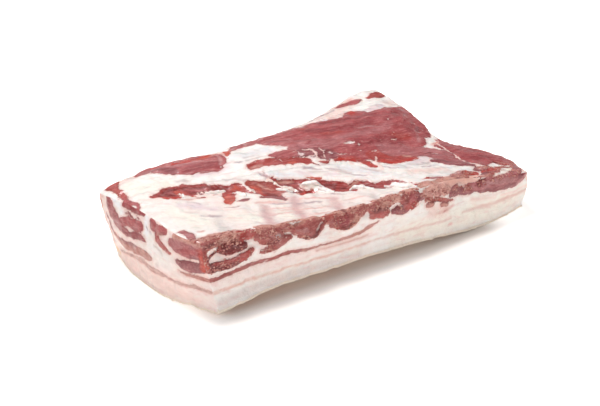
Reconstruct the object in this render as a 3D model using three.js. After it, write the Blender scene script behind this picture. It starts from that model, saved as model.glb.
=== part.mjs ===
// A boneless, rind-on slab of raw pork belly, skin side down, knife-cut on all four sides.
//
// Frame: millimetres, +X along the front cut from the left end to the right end, +Y from the front
// cut towards the back cut, +Z up. The origin is under the middle of the slab's box, on the plane
// that the rind rests on. The stations below are given from the near left corner of the rind.

import * as THREE from "three";
import { mergeVertices } from "three/addons/utils/BufferGeometryUtils.js";

// Grid of the skin of the solid. The rind underneath uses every second column and row.
const COLUMNS = 62; // along the length
const ROWS = 36; // across the width
const WALL_LEVELS = 10; // from the rind's rim up to the top rim
const RIND_INSET = 0.02; // how far the coarse grid under the slab stops short of the rim
const WELD = 1e-3; // points nearer than this are one point

// Cut edges of the rind, as [x, y, z]. A little of each edge curls clear of the table.
const RIND_RIM = {
  front: [
    [0, -1, 3], [25, 1, 5], [50, 4, 6.5], [100, 5, 6], [150, 6, 5.5],
    [200, 5, 3.5], [240, 5, 0.5], [272, 8, 0], [301, 15, 0],
  ],
  back: [
    [-14, 124, 4], [20, 138, 1], [70, 146, 0], [130, 151, 0], [185, 164, 0], [235, 184, 1], [290, 202, 3],
  ],
  left: [[0, -1, 3], [-8, 18, 3], [-15, 42, 1], [-18, 80, 0], [-17, 105, 2], [-14, 124, 4]],
  right: [
    [301, 15, 0], [311, 38, 0], [307, 66, 0], [290, 95, 0], [290, 130, 0], [296, 165, 0], [290, 202, 3],
  ],
};

// Edges of the flesh side, as [x, y, z]. The slab thins towards its right end.
const TOP_RIM = {
  front: [
    [-7, 9, 56], [20, 11, 55], [50, 10, 53], [85, 9, 50], [120, 9, 48], [150, 9, 48],
    [185, 10, 47], [215, 14, 45], [242, 14, 41], [266, 10, 37], [301, 11, 32],
  ],
  back: [
    [-22, 131, 52], [-7, 133, 56.5], [20, 138, 57], [60, 143, 56], [100, 145, 55], [135, 149, 54],
    [175, 160, 52], [210, 172, 51], [240, 186, 51], [268, 194, 53], [289, 198, 49.5],
  ],
  left: [
    [-7, 9, 56], [-13, 28, 56], [-14, 55, 56], [-15, 80, 55.5], [-18, 104, 55], [-22, 121, 53.5],
    [-22, 131, 52],
  ],
  right: [
    [301, 11, 32], [307, 34, 31.5], [303, 60, 32.5], [279, 93, 37], [279, 120, 44.5], [286, 160, 48],
    [289, 198, 49.5],
  ],
};

// The walls swell out between the rind and the lean: how far, as [x, y], in the middle of each
// wall and at the corner where it starts and where it ends.
const WALL_SWELL = {
  front: { start: [0, 0], middle: [0, -2], end: [1, -2] },
  back: { start: [-1, 2], middle: [0, 4], end: [4, 4] },
  left: { start: [0, 0], middle: [-3, 0], end: [-1, 2] },
  right: { start: [1, -2], middle: [4, 0], end: [4, 4] },
};
const SWELL_SKEW = 1.3; // above 1, so that the walls swell most a little above half their height
const CORNER_SHARE = 0.25; // of a wall's length, over which a corner's swelling gives way to the middle's

// Flesh side: each ridge or hollow follows a line [x, y], with a half width and a height.
const TOP_FORMS = [
  { name: "flank muscle", line: [[130, 128], [190, 132], [250, 128]], half: 30, height: 6 },
  { name: "skirt muscle", line: [[15, 128], [50, 129], [85, 127]], half: 12, height: 3 },
  { name: "fat ridge", line: [[90, 104], [150, 100], [215, 96]], half: 12, height: 3 },
  { name: "pocket row", line: [[20, 88], [70, 78], [115, 58], [170, 36]], half: 8, height: -3 },
  { name: "rib membrane", line: [[30, 45], [80, 35], [120, 25]], half: 26, height: -1.5 },
];
const TOP_FADE = 0.12; // of the length and width, over which the forms fade out at the edges
const RIND_FADE = 0.1; // of the length and width, over which the curled rim of the rind comes down

// Cut ends of the muscles between the ribs, a row of lumps under the front edge.
const RIB_PITCH = 32;
const RIB_LUMPS = { from: 3, count: 7, level: 0.78, reach: 0.22, depth: 2.5 };

const rimCurve = (points) => new THREE.CatmullRomCurve3(points.map((p) => new THREE.Vector3(...p)));
const rimCurves = (rim) =>
  Object.fromEntries(Object.entries(rim).map(([side, points]) => [side, rimCurve(points)]));
const rindRim = rimCurves(RIND_RIM);
const topRim = rimCurves(TOP_RIM);

const smooth = (x) => THREE.MathUtils.smoothstep(x, 0, 1);

// A point of the patch that four edges span, at u along the length and v across the width.
function patchPoint(rim, u, v) {
  const corner = (end, side) => rim[side].getPoint(end);
  const along = rim.front.getPointAt(u).multiplyScalar(1 - v).addScaledVector(rim.back.getPointAt(u), v);
  const across = rim.left.getPointAt(v).multiplyScalar(1 - u).addScaledVector(rim.right.getPointAt(v), u);
  return along
    .add(across)
    .addScaledVector(corner(0, "front"), -(1 - u) * (1 - v))
    .addScaledVector(corner(1, "front"), -u * (1 - v))
    .addScaledVector(corner(0, "back"), -(1 - u) * v)
    .addScaledVector(corner(1, "back"), -u * v);
}

// How far a point of the plan lies from a line of [x, y] points.
function distanceToLine(x, y, line) {
  const p = new THREE.Vector3(x, y, 0);
  const nearest = new THREE.Vector3();
  let best = Infinity;
  for (let i = 1; i < line.length; i++) {
    const stretch = new THREE.Line3(new THREE.Vector3(...line[i - 1], 0), new THREE.Vector3(...line[i], 0));
    stretch.closestPointToPoint(p, true, nearest);
    best = Math.min(best, nearest.distanceTo(p));
  }
  return best;
}

// Each form is highest on its line and dies away smoothly on both sides.
const formHeight = (form, x, y) =>
  form.height * Math.exp(-((distanceToLine(x, y, form.line) / form.half) ** 2));
const reliefAt = (x, y) => TOP_FORMS.reduce((sum, form) => sum + formHeight(form, x, y), 0);

// The forms of the flesh side fade out at its edges, so that the rim keeps its own shape.
function topPoint(u, v) {
  const point = patchPoint(topRim, u, v);
  const fromRim = Math.min(u, 1 - u, v, 1 - v);
  point.z += reliefAt(point.x, point.y) * smooth(fromRim / TOP_FADE);
  return point;
}

// The rind lies flat, and only its rim curls up. It never dips under the plane it rests on.
const onTable = (point) => point.setZ(Math.max(0, point.z));
function rindPoint(u, v) {
  const point = onTable(patchPoint(rindRim, u, v));
  const fromRim = Math.min(u, 1 - u, v, 1 - v);
  point.z *= 1 - smooth(fromRim / RIND_FADE);
  return point;
}

// How far a rib lump stands proud of the front wall.
function ribLump(x, level) {
  const ribs = (x - RIB_LUMPS.from) / RIB_PITCH;
  if (ribs < 0 || ribs > RIB_LUMPS.count) return 0;
  const upTheWall = smooth(1 - Math.abs(level - RIB_LUMPS.level) / RIB_LUMPS.reach);
  return RIB_LUMPS.depth * Math.sin(Math.PI * ribs) ** 2 * upTheWall;
}

// A wall runs from the rind's rim, level 0, to the top rim, level 1.
function wallPoint(side, t, level) {
  const point = onTable(rindRim[side].getPointAt(t)).lerp(topRim[side].getPointAt(t), level);
  const { start, middle, end } = WALL_SWELL[side];
  const nearStart = smooth(1 - t / CORNER_SHARE);
  const nearEnd = smooth(1 - (1 - t) / CORNER_SHARE);
  const between = 1 - nearStart - nearEnd;
  const swell = [0, 1].map((k) => start[k] * nearStart + end[k] * nearEnd + middle[k] * between);
  const rise = Math.sin(Math.PI * level ** SWELL_SKEW);
  point.x += swell[0] * rise;
  point.y += swell[1] * rise;
  if (side === "front") point.y -= ribLump(point.x, level);
  return point;
}

// The slab's skin as loose triangles, which mergeVertices then joins at shared points.
function slabGeometry() {
  const corners = [];
  const triangle = (...points) => points.forEach((p) => corners.push(p.x, p.y, p.z));
  const quad = (a, b, c, d) => {
    triangle(a, b, c);
    triangle(a, c, d);
  };
  const grid = (nu, nv, at, flip) => {
    for (let i = 0; i < nu; i++) {
      for (let j = 0; j < nv; j++) {
        const [a, b, c, d] = [at(i, j), at(i + 1, j), at(i + 1, j + 1), at(i, j + 1)];
        if (flip) quad(a, d, c, b);
        else quad(a, b, c, d);
      }
    }
  };

  grid(COLUMNS, ROWS, (i, j) => topPoint(i / COLUMNS, j / ROWS), false);
  const wall = (side, steps, flip) =>
    grid(steps, WALL_LEVELS, (i, j) => wallPoint(side, i / steps, j / WALL_LEVELS), flip);
  wall("front", COLUMNS, false);
  wall("back", COLUMNS, true);
  wall("left", ROWS, true);
  wall("right", ROWS, false);

  // Under the slab, the coarse grid stops short of the rim, and a strip stitches the two.
  const inset = (t) => RIND_INSET + (1 - 2 * RIND_INSET) * t;
  const coarse = (i, j) => rindPoint(inset((2 * i) / COLUMNS), inset((2 * j) / ROWS));
  grid(COLUMNS / 2, ROWS / 2, coarse, true);
  const stitch = (side, steps, inner, flip) => {
    const fine = (i) => wallPoint(side, i / steps, 0);
    for (let i = 0; i < steps; i += 2) {
      const [a, b, c] = [fine(i), fine(i + 1), fine(i + 2)];
      const [p, q] = [inner(i / 2), inner(i / 2 + 1)];
      for (const [m, n, o] of [[a, p, b], [b, p, q], [b, q, c]]) {
        if (flip) triangle(m, o, n);
        else triangle(m, n, o);
      }
    }
  };
  stitch("front", COLUMNS, (i) => coarse(i, 0), false);
  stitch("back", COLUMNS, (i) => coarse(i, ROWS / 2), true);
  stitch("left", ROWS, (j) => coarse(0, j), true);
  stitch("right", ROWS, (j) => coarse(COLUMNS / 2, j), false);

  const geometry = new THREE.BufferGeometry();
  geometry.setAttribute("position", new THREE.Float32BufferAttribute(corners, 3));
  const joined = mergeVertices(geometry, WELD);
  joined.computeVertexNormals();
  return joined;
}

const rawBelly = new THREE.MeshStandardMaterial({ color: 0xd9a79a, roughness: 0.45, metalness: 0 });

// The mesh is set back so that the origin lies under the middle of its box.
function porkBelly() {
  const geometry = slabGeometry();
  geometry.computeBoundingBox();
  const middle = geometry.boundingBox.getCenter(new THREE.Vector3());
  const mesh = new THREE.Mesh(geometry, rawBelly);
  mesh.name = "pork_belly";
  mesh.position.set(-middle.x, -middle.y, 0);
  return mesh;
}

const slab = new THREE.Group();
slab.add(porkBelly());

export default slab;
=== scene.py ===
"""A raw, boneless, rind-on slab of pork belly, lying on its rind.

The CAD solid gives the slab's shape. Here its skin is refined, the cut muscles, fat, membranes and
rind are laid out on it, the flesh is given its relief, and flaps of fat and loose bits are added.
Lengths are in millimetres and are measured from the slab's low corner, unless a name says otherwise.
"""
import math

import bmesh
import bpy
import numpy as np
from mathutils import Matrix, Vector
from mathutils.bvhtree import BVHTree


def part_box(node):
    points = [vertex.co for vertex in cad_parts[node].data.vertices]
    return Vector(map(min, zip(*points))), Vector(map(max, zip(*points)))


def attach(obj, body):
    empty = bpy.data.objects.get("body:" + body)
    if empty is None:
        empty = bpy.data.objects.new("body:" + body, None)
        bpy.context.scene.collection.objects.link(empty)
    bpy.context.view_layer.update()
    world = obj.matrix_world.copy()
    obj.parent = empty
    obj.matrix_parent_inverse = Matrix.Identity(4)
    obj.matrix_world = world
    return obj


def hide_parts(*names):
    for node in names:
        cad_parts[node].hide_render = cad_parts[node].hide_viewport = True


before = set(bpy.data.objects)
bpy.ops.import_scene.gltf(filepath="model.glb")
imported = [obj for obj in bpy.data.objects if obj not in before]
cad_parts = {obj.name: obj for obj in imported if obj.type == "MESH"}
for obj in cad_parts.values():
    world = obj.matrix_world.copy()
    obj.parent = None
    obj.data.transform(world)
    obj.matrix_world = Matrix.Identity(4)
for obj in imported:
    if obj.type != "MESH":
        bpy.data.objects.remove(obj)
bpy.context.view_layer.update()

MM = 0.001
SLAB = "pork_belly"
LOW = np.array(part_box(SLAB)[0]) / MM  # the slab's low corner, from the object's origin
HIGH = np.array(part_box(SLAB)[1]) / MM
LENGTH, WIDTH = (HIGH - LOW)[:2]

# ---------------------------------------------------------------------------------------------
# Tissues: what the flesh is made of, as sRGB colours of 0 to 255
# ---------------------------------------------------------------------------------------------
TISSUE = {
    # lean
    "flank": (194, 102, 104),
    "flank dark": (172, 80, 84),
    "mauve": (196, 122, 124),
    "plum": (166, 98, 102),
    # the lilac tint is also painted sheen on the muscles
    "lilac lean and painted sheen": (204, 146, 146),
    "red": (192, 84, 78),
    "bright red": (208, 66, 56),
    "blood": (222, 98, 76),
    "deep blood": (128, 30, 30),
    "pocket": (184, 70, 66),
    "brown red": (190, 92, 82),
    "brown": (184, 102, 96),
    "dark brown": (128, 48, 48),
    "tan": (228, 174, 158),
    "salmon": (214, 156, 144),
    "pale salmon": (228, 190, 180),
    "rosy": (246, 194, 180),
    # fat and membrane
    "membrane": (252, 238, 232),
    "cream": (255, 247, 236),
    "white": (254, 248, 244),
    "amber": (242, 202, 160),
    "pale pink": (253, 234, 229),
    "pink fat": (250, 222, 214),
    "blushed": (236, 180, 172),
    "coral": (248, 190, 174),
    # grey fat is also painted shade, low on the front and in bands beside the rib shadows
    "grey fat and painted shade": (232, 220, 216),
    "blue fat": (236, 232, 234),
    "lilac fat": (236, 216, 220),
    "cartilage": (252, 252, 255),
    "rib shadow": (222, 182, 180),
    "violet": (170, 138, 148),
    "glassy": (214, 196, 194),
}

# Kinds of strand: muscle, fat that lies over muscle, and stains on either.
LEAN, FAT, ON_LEAN, ON_FAT = "lean", "fat", "on lean", "on fat"

# Each side of the slab is a list of strands, laid one over the other: kind, tissue, how far it stands
# proud, and a spine of points (along, across, half width). Along and across are x and y on the flesh
# side, x and height on the front and back, and y and height on the ends.
TOP = [
    # rib membrane in front of the pockets: the ribs' shadows show through it
    (ON_FAT, "membrane", 0, [(10, 70, 20), (60, 50, 34), (110, 34, 34), (170, 22, 20)]),
    (ON_FAT, "cream", 0.3, [(64, 36, 8), (72, 30, 8)]),
    (ON_FAT, "cream", 0.3, [(26, 60, 8), (34, 40, 9)]),
    (ON_FAT, "cream", 0.3, [(96, 24, 6), (100, 18, 5)]),
    (ON_FAT, "rib shadow", -0.6, [(91, 46, 2), (86, 34, 3.6), (80, 22, 3.6), (76, 13, 3)]),
    (ON_FAT, "rib shadow", -0.6, [(119, 48, 3), (114, 36, 4.6), (109, 24, 4.6), (105, 14, 3)]),
    (ON_FAT, "grey fat and painted shade", -0.5, [(52, 44, 3), (46, 30, 4), (41, 16, 4)]),
    (ON_FAT, "rib shadow", -0.5, [(146, 36, 2), (142, 26, 3.6), (138, 16, 3)]),
    (ON_FAT, "grey fat and painted shade", -0.3, [(176, 26, 1), (173, 17, 3)]),
    (ON_FAT, "salmon", -0.2, [(36, 80, 0.5), (43, 76.6, 0.8), (50, 75, 0.5)]),
    (ON_FAT, "violet", -0.2, [(41, 73, 0.4), (46, 69, 0.9), (49, 66, 0.4)]),
    (ON_FAT, "pink fat", 0, [(14, 94, 1.2), (20, 88, 1), (26, 84, 0.8)]),
    (ON_FAT, "plum", 0, [(63, 55, 0.2), (68, 53.4, 0.5), (74, 52, 0.3)]),
    (ON_FAT, "violet", 0, [(40, 50, 0.3), (47, 47, 0.6), (53, 44, 0.3)]),
    (ON_FAT, "salmon", 0.2, [(24, 25.6, 0.8), (27, 25, 0.8)]),
    (ON_FAT, "violet", 0, [(96, 48, 0.3), (104, 45, 0.7), (112, 42, 0.3)]),
    (ON_FAT, "blushed", 0, [(92, 41, 0.4), (101, 38, 0.8), (110, 35, 0.3)]),
    (ON_FAT, "blushed", 0, [(88, 31, 0.3), (96, 29, 0.8), (104, 28, 0.3)]),
    (ON_FAT, "blushed", 0, [(118, 30, 0.4), (127, 27, 0.9), (136, 24, 0.4)]),
    (ON_FAT, "blushed", 0, [(112, 16, 0.4), (120, 17, 0.9), (130, 16, 0.4)]),
    (ON_FAT, "violet", 0, [(150, 43, 0.3), (154, 39, 0.5), (158, 36, 0.2)]),
    (ON_FAT, "plum", 0, [(147, 45, 0.2), (151, 43, 0.4), (155, 40, 0.2)]),
    (ON_FAT, "blushed", 0, [(150, 27, 0.4), (160, 25, 0.8), (170, 22, 0.4)]),
    (ON_FAT, "blushed", 0, [(88, 52, 0.6), (98, 50, 1.2), (108, 46, 0.6)]),
    (ON_FAT, "blushed", 0, [(122, 44, 0.6), (133, 41, 1.2), (143, 37, 0.6)]),
    (ON_FAT, "violet", 0, [(116, 39, 0.4), (125, 36.6, 0.8), (134, 33, 0.4)]),
    (ON_FAT, "blushed", 0, [(98, 34, 0.5), (111, 31.6, 1), (124, 28, 0.5)]),
    (ON_FAT, "lilac fat", 0, [(36, 68, 3), (46, 62, 4), (54, 56, 3)]),
    # membrane over the ridge between the pockets and the flank muscle
    (ON_FAT, "cream", 0, [(18, 112, 10), (40, 104, 9)]),
    (ON_FAT, "pink fat", 0, [(18, 132, 5), (27, 131, 5)]),
    (ON_FAT, "glassy", 0, [(24, 131, 0.8), (29, 127, 1.2)]),
    (ON_FAT, "white", 0.8, [(100, 108, 9), (116, 112, 7)]),
    (ON_FAT, "blue fat", 0.6, [(112, 118, 4), (124, 117, 5), (138, 115, 4)]),
    (ON_FAT, "glassy", 0, [(115, 112, 0.8), (122, 111, 0.6)]),
    (ON_FAT, "glassy", 0, [(114, 107, 0.8), (124, 107, 1), (132, 105, 0.6)]),
    (ON_FAT, "glassy", 0, [(146, 117, 0.8), (150, 113, 1.4)]),
    (ON_FAT, "blue fat", 0.7, [(124, 84, 3), (133, 80, 4), (144, 76, 4)]),
    (ON_FAT, "lilac fat", 0.3, [(146, 79, 3), (152, 76, 2.6)]),
    (ON_FAT, "glassy", 0, [(153, 78, 0.6), (159, 76, 0.9), (166, 73, 0.5)]),
    (ON_FAT, "lilac fat", 0, [(163, 70, 0.9), (168, 68, 1.4), (174, 64, 0.9)]),
    (ON_FAT, "blue fat", 0.4, [(178, 74, 4), (190, 68, 4), (200, 60, 4), (206, 52, 3)]),
    (ON_FAT, "violet", 0, [(180, 64, 0.3), (186, 59, 0.7), (191, 54, 0.3)]),
    (ON_FAT, "blue fat", 0.4, [(222, 58, 3), (232, 54, 3), (240, 60, 2)]),
    (ON_FAT, "lilac fat", 0.4, [(246, 60, 3), (256, 64, 4), (264, 62, 3)]),
    (ON_FAT, "violet", 0, [(250, 58, 0.4), (256, 56, 0.8), (262, 58, 0.3)]),
    (ON_FAT, "violet", 0, [(244, 50, 0.4), (249, 48, 0.9), (254, 49, 0.3)]),
    (ON_FAT, "glassy", 0, [(258, 68, 0.4), (263, 67, 0.8)]),
    (ON_FAT, "violet", -0.4, [(152, 84, 0.5), (158, 81, 0.8), (163, 78, 0.4)]),
    (ON_FAT, "violet", -0.4, [(168, 78, 0.5), (174, 75, 0.9), (180, 70, 0.4)]),
    (ON_FAT, "glassy", -0.5, [(171, 73, 1), (177, 69, 1.6), (184, 65, 1)]),
    (ON_FAT, "glassy", -0.5, [(196, 67, 1), (203, 61, 1.6), (210, 56, 1)]),
    (ON_FAT, "violet", -0.4, [(214, 62, 0.4), (219, 58, 0.8), (224, 54, 0.4)]),
    (ON_FAT, "glassy", -0.5, [(238, 58, 1), (246, 55, 1.6), (254, 54, 1)]),
    (ON_FAT, "pink fat", 0, [(228, 44, 3), (244, 40, 4), (258, 40, 3)]),
    (ON_FAT, "glassy", 0, [(52, 104.6, 1), (57, 103, 1.4), (60, 102, 0.6)]),
    (ON_FAT, "glassy", 0, [(86, 95, 0.5), (92, 91.6, 1), (98, 89, 0.6)]),
    (ON_FAT, "violet", 0, [(107, 109, 0.8), (109, 107, 1)]),
    (ON_FAT, "glassy", 0, [(96, 88, 0.7), (102, 85, 1.2)]),
    (ON_FAT, "violet", -0.5, [(115, 89, 0.9), (116.6, 86, 1), (116, 82, 0.9)]),
    (ON_FAT, "plum", -0.3, [(119, 90, 0.5), (118, 85, 0.7), (118, 81, 0.4)]),
    # fat along the far edge
    (ON_FAT, "pink fat", 0, [(186, 150, 3), (206, 152, 5), (224, 158, 7), (240, 166, 8), (262, 178, 6)]),
    (ON_FAT, "lilac fat", 0, [(186, 146, 2), (204, 149, 3), (222, 150, 2)]),
    (ON_FAT, "blushed", 0, [(228, 152, 2), (238, 154, 3), (246, 153, 2)]),
    (ON_FAT, "violet", 0, [(206, 160, 0.3), (222, 166.6, 0.6), (236, 171, 0.9), (247, 175, 0.4)]),
    (ON_FAT, "blushed", 0, [(266, 184, 1.6), (274, 186, 2), (280, 188, 1)]),
    (ON_FAT, "pink fat", 0, [(296, 160, 4), (304, 164, 5)]),
    (ON_FAT, "white", 0.6, [(280, 190, 5), (296, 192, 5)]),
    # flank muscle, from its left tongue to its right end
    (LEAN, "flank", 0.8, [(112, 134, 3), (122, 137, 5.4), (136, 139, 9), (150, 142, 13.6)]),
    (LEAN, "flank", 1.2, [(160, 132, 20), (180, 122, 25), (200, 118, 28), (222, 112, 34)]),
    (LEAN, "flank", 1.2, [(215, 112, 34), (246, 112, 34), (272, 120, 27), (290, 134, 17), (294, 140, 12)]),
    (LEAN, "flank", 0.6, [(246, 146, 8), (252, 152, 8), (256, 150, 6)]),
    (LEAN, "flank", 0.8, [(268, 98, 14), (286, 110, 12), (300, 126, 8), (304, 146, 8)]),
    (LEAN, "mauve", 0.6, [(156, 106, 4), (172, 104, 6), (192, 98, 7), (210, 92, 8)]),
    (LEAN, "flank", 0.4, [(186, 92, 4), (202, 90, 8), (216, 88, 8)]),
    (LEAN, "red", 0.2, [(184, 85, 1.8), (194, 83.6, 2.2), (203, 79, 3.4), (207, 73, 4.4), (208, 67, 3.4)]),
    (LEAN, "red", 0.4, [(221, 80, 8), (228, 73, 8), (238, 71, 9), (248, 73, 8)]),
    (LEAN, "red", 0, [(170, 86, 1.6), (174, 85, 2), (178, 86, 1.2)]),
    (LEAN, "mauve", 0.6, [(238, 88, 10), (254, 82, 9), (266, 76, 9), (276, 72, 9), (284, 66, 8)]),
    (FAT, "lilac fat", 0.7, [(263, 152, 1.4), (268, 152, 4), (275, 153, 4.4), (284, 157, 4)]),
    (FAT, "pink fat", 0.4, [(226, 155, 2), (236, 154, 1.6), (243, 152, 0.8)]),
    (FAT, "lilac fat", 0.3, [(188, 146, 1), (204, 150, 2.4), (220, 152, 2)]),
    # its tints: painted lilac sheen above, brighter red along the lower edge, dark and pale streaks
    (ON_LEAN, "lilac lean and painted sheen", 0, [(114, 134, 3), (130, 142, 3), (154, 147, 3), (176, 150, 3)]),
    (ON_LEAN, "lilac lean and painted sheen", 0, [(186, 142, 1.4), (206, 143, 1.6), (226, 144, 1)]),
    (ON_LEAN, "mauve", 0, [(120, 128, 2), (140, 126, 2), (160, 118, 3), (180, 110, 3), (200, 105, 3)]),
    (ON_LEAN, "mauve", 0, [(200, 108, 3), (222, 108, 4), (246, 112, 4), (262, 116, 3)]),
    (ON_LEAN, "flank dark", 0, [(186, 130, 3), (206, 122, 3), (230, 122, 4), (250, 126, 4)]),
    (ON_LEAN, "flank dark", 0, [(206, 136, 2), (232, 136, 3), (262, 138, 3)]),
    (ON_LEAN, "flank dark", 0, [(214, 98, 3), (236, 98, 4), (258, 98, 4)]),
    (ON_LEAN, "flank dark", 0, [(276, 108, 3), (286, 112, 3)]),
    (ON_LEAN, "flank dark", 0, [(172, 108, 1.4), (176, 110, 1.6)]),
    (ON_LEAN, "flank dark", 0, [(264, 122, 4), (280, 130, 4), (292, 144, 3)]),
    (ON_LEAN, "red", 0, [(182, 133, 1.6), (188, 134, 1)]),
    (ON_LEAN, "red", 0, [(194, 120, 1), (206, 116, 1.6), (216, 117, 0.6)]),
    (ON_LEAN, "red", 0, [(258, 104, 4), (268, 100, 4)]),
    (ON_LEAN, "lilac lean and painted sheen", 0, [(230, 118, 0.6), (242, 119, 1), (252, 118, 0.6)]),
    (ON_LEAN, "lilac lean and painted sheen", 0, [(274, 92, 0.8), (280, 98, 1), (283, 106, 0.6)]),
    (ON_LEAN, "bright red", 0, [(247, 150, 3), (253, 155, 3)]),
    (ON_LEAN, "bright red", 0, [(208, 72, 2.4), (208, 66, 2)]),
    (ON_LEAN, "bright red", 0, [(188, 84, 1.4), (200, 80, 1.6)]),
    (ON_LEAN, "bright red", 0, [(222, 72, 2), (230, 65, 2.4), (240, 64, 2), (249, 67, 2)]),
    (ON_LEAN, "tan", 0, [(246, 74, 1.4), (250, 73, 1.6)]),
    (ON_LEAN, "plum", 0, [(284, 106, 1.6), (290, 112, 1.6)]),
    (ON_LEAN, "mauve", 0, [(296, 138, 3), (302, 148, 3)]),
    (LEAN, "plum", 0.3, [(150, 99, 3), (160, 98, 4.4), (172, 95, 5), (184, 91, 5)]),
    # fat over the flank muscle
    (FAT, "white", 0.7, [(203, 98.8, 0.5), (208, 98.5, 1.5), (213, 98.2, 0.9)]),
    (FAT, "white", 0.4, [(216, 95.4, 1.1)]),
    (FAT, "pink fat", 0.3, [(188, 90, 0.2), (193, 88.6, 0.5), (197, 88, 0.3)]),
    (FAT, "pink fat", 0.3, [(199, 87, 0.3), (204, 86.6, 0.6)]),
    (FAT, "pink fat", 0.3, [(210, 89, 0.3), (214, 90, 0.6)]),
    (FAT, "white", 0.3, [(222, 87, 0.7), (225, 86.4, 0.6)]),
    (FAT, "white", 0.3, [(266.6, 123, 0.9)]),
    (FAT, "pink fat", 0.2, [(258, 107.6, 0.7)]),
    (FAT, "pink fat", 0.2, [(251, 100, 0.2), (254, 99.4, 0.6)]),
    (FAT, "white", 0.2, [(289.6, 114, 0.9)]),
    (FAT, "lilac fat", 0.2, [(284, 103.6, 0.4), (288, 105, 0.6)]),
    (FAT, "lilac fat", 0.2, [(156, 101, 0.8), (157, 97, 1.6), (161, 95, 0.8)]),
    (FAT, "pink fat", 0.5, [(168, 99, 0.6), (171, 95, 1.2), (171, 91, 1)]),
    (FAT, "pink fat", 0.3, [(163, 99.6, 0.4), (167, 98.6, 0.7)]),
    (FAT, "pink fat", 0.3, [(178, 98, 0.7), (179, 94, 1), (178, 90, 0.6)]),
    (FAT, "lilac fat", 0.2, [(163, 92.6, 0.7), (168, 92, 0.9)]),
    (FAT, "lilac fat", 0.2, [(183, 93, 1), (186, 91, 0.5)]),
    (FAT, "pink fat", 0.6, [(220, 80, 0.3), (218, 74, 0.8), (214.6, 67, 1.1), (211, 60, 1.4)]),
    (FAT, "pink fat", 0.3, [(193, 77, 1), (195, 82, 0.3)]),
    (FAT, "pink fat", 0.3, [(200, 74, 1), (201, 79, 0.3)]),
    # red islands before the flank muscle
    (LEAN, "flank", 0.4, [(136, 104, 3), (141, 103.4, 4.8), (147, 102, 5), (153, 99.6, 3.4)]),
    (LEAN, "red", -0.5, [(113, 98.6, 3.4), (120, 98.6, 4.4), (129, 97, 4.2), (138, 95.4, 4)]),
    (LEAN, "red", -0.5, [(138, 95.4, 4), (147, 92.8, 3.8), (156, 90.4, 3.2), (162, 88, 2.8)]),
    (LEAN, "red", -0.3, [(161, 88.4, 1.8), (163, 85.6, 1.4), (165, 83.4, 0.7)]),
    (ON_LEAN, "salmon", 0, [(114.6, 97.6, 1.4), (121, 96.6, 1.4)]),
    (ON_LEAN, "blood", 0, [(143, 91.4, 0.8), (148, 90.6, 1)]),
    (ON_LEAN, "flank dark", 0, [(137, 100, 1.2), (138, 97, 1)]),
    (FAT, "pink fat", 0, [(139.6, 98, 0.5), (140, 96, 0.3)]),
    # skirt muscle at the far left
    (ON_FAT, "lilac fat", 0, [(70, 108, 2), (85, 106, 3), (96, 109, 3), (100, 114, 2)]),
    (LEAN, "mauve", 0, [(74, 109, 1), (86, 107.6, 1.4), (95, 110, 1.2)]),
    (LEAN, "flank", 1.2, [
        (33, 131, 4), (44, 133, 8), (56, 132, 15), (70, 128, 17), (88, 126, 17), (95, 124, 8),
    ]),
    (ON_LEAN, "plum", 0, [(36, 128, 2), (46, 128, 3), (56, 120, 4)]),
    (ON_LEAN, "flank dark", 0, [(66, 116, 4), (80, 117, 5), (92, 118, 4)]),
    (ON_LEAN, "mauve", 0, [(50, 132, 3), (64, 126, 3), (80, 124, 2)]),
    # the thin lilac lines on the skirt are painted sheen
    (ON_LEAN, "lilac lean and painted sheen", 0, [(54, 133, 0.6), (68, 129.6, 1), (84, 128, 1.2), (96, 130, 0.8)]),
    (ON_LEAN, "bright red", 0, [(46, 133.6, 1.6), (60, 131.6, 3), (76, 130.6, 3.4), (92, 130, 3.4)]),
    (ON_LEAN, "lilac lean and painted sheen", 0, [(40, 140, 1.4), (60, 143, 1.4), (80, 144.6, 1.4)]),
    (ON_LEAN, "lilac lean and painted sheen", 0, [(56, 127, 0.6), (70, 125.6, 0.9), (86, 125, 0.8)]),
    (LEAN, "blood", 0.6, [(86, 130.6, 2), (93, 129.6, 3), (101, 131, 2.6)]),
    (LEAN, "blood", 0.3, [(108, 124, 1.8), (111, 129, 3), (114, 136, 3)]),
    (ON_FAT, "blushed", 0, [(106, 128, 2), (108, 136, 3)]),
    (LEAN, "lilac lean and painted sheen", 0.2, [(96, 114, 1), (99, 120, 1.6), (100, 127, 1.2)]),
    # muscle rim at the far left corner
    (LEAN, "red", 0.4, [(14.6, 134.6, 3.8), (9, 130, 4.4), (9.6, 121, 2.6), (8.6, 112, 2), (7, 104, 1.8)]),
    (LEAN, "flank", 0.4, [(6, 102, 1.4), (7.6, 95, 2), (8.4, 88, 1.3), (8.4, 82, 0.7)]),
    (ON_LEAN, "salmon", 0, [(13, 138, 2), (5, 132, 2)]),
    (ON_FAT, "cartilage", 0.3, [(3.4, 112, 1.4), (4, 118, 1.6)]),
    # pockets between the ribs, from left to right
    (LEAN, "pocket", -1.6, [(25, 91.4, 1.2), (31, 91, 4), (38, 93, 6), (43, 95.4, 5.2), (46.4, 97, 3)]),
    (LEAN, "red", -1.2, [(33, 86, 2.4), (40, 85.4, 2.2)]),
    (LEAN, "blood", -1.8, [(46.6, 94, 1.8), (49, 88, 2.6), (51, 83.4, 1.8)]),
    (LEAN, "pocket", -1.8, [(51.6, 96, 2), (56, 92.4, 4.6), (61, 90.4, 5), (66, 89, 4), (70, 88, 2.2)]),
    (LEAN, "pocket", -1.6, [(70, 88, 2), (76, 86, 2.4), (82, 83.6, 2.8), (86, 80.6, 2)]),
    (LEAN, "red", -0.6, [(52.6, 75.6, 1.3), (56, 76.6, 1.7)]),
    (LEAN, "red", -0.3, [(66, 79, 0.5), (71, 77.4, 0.7)]),
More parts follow.
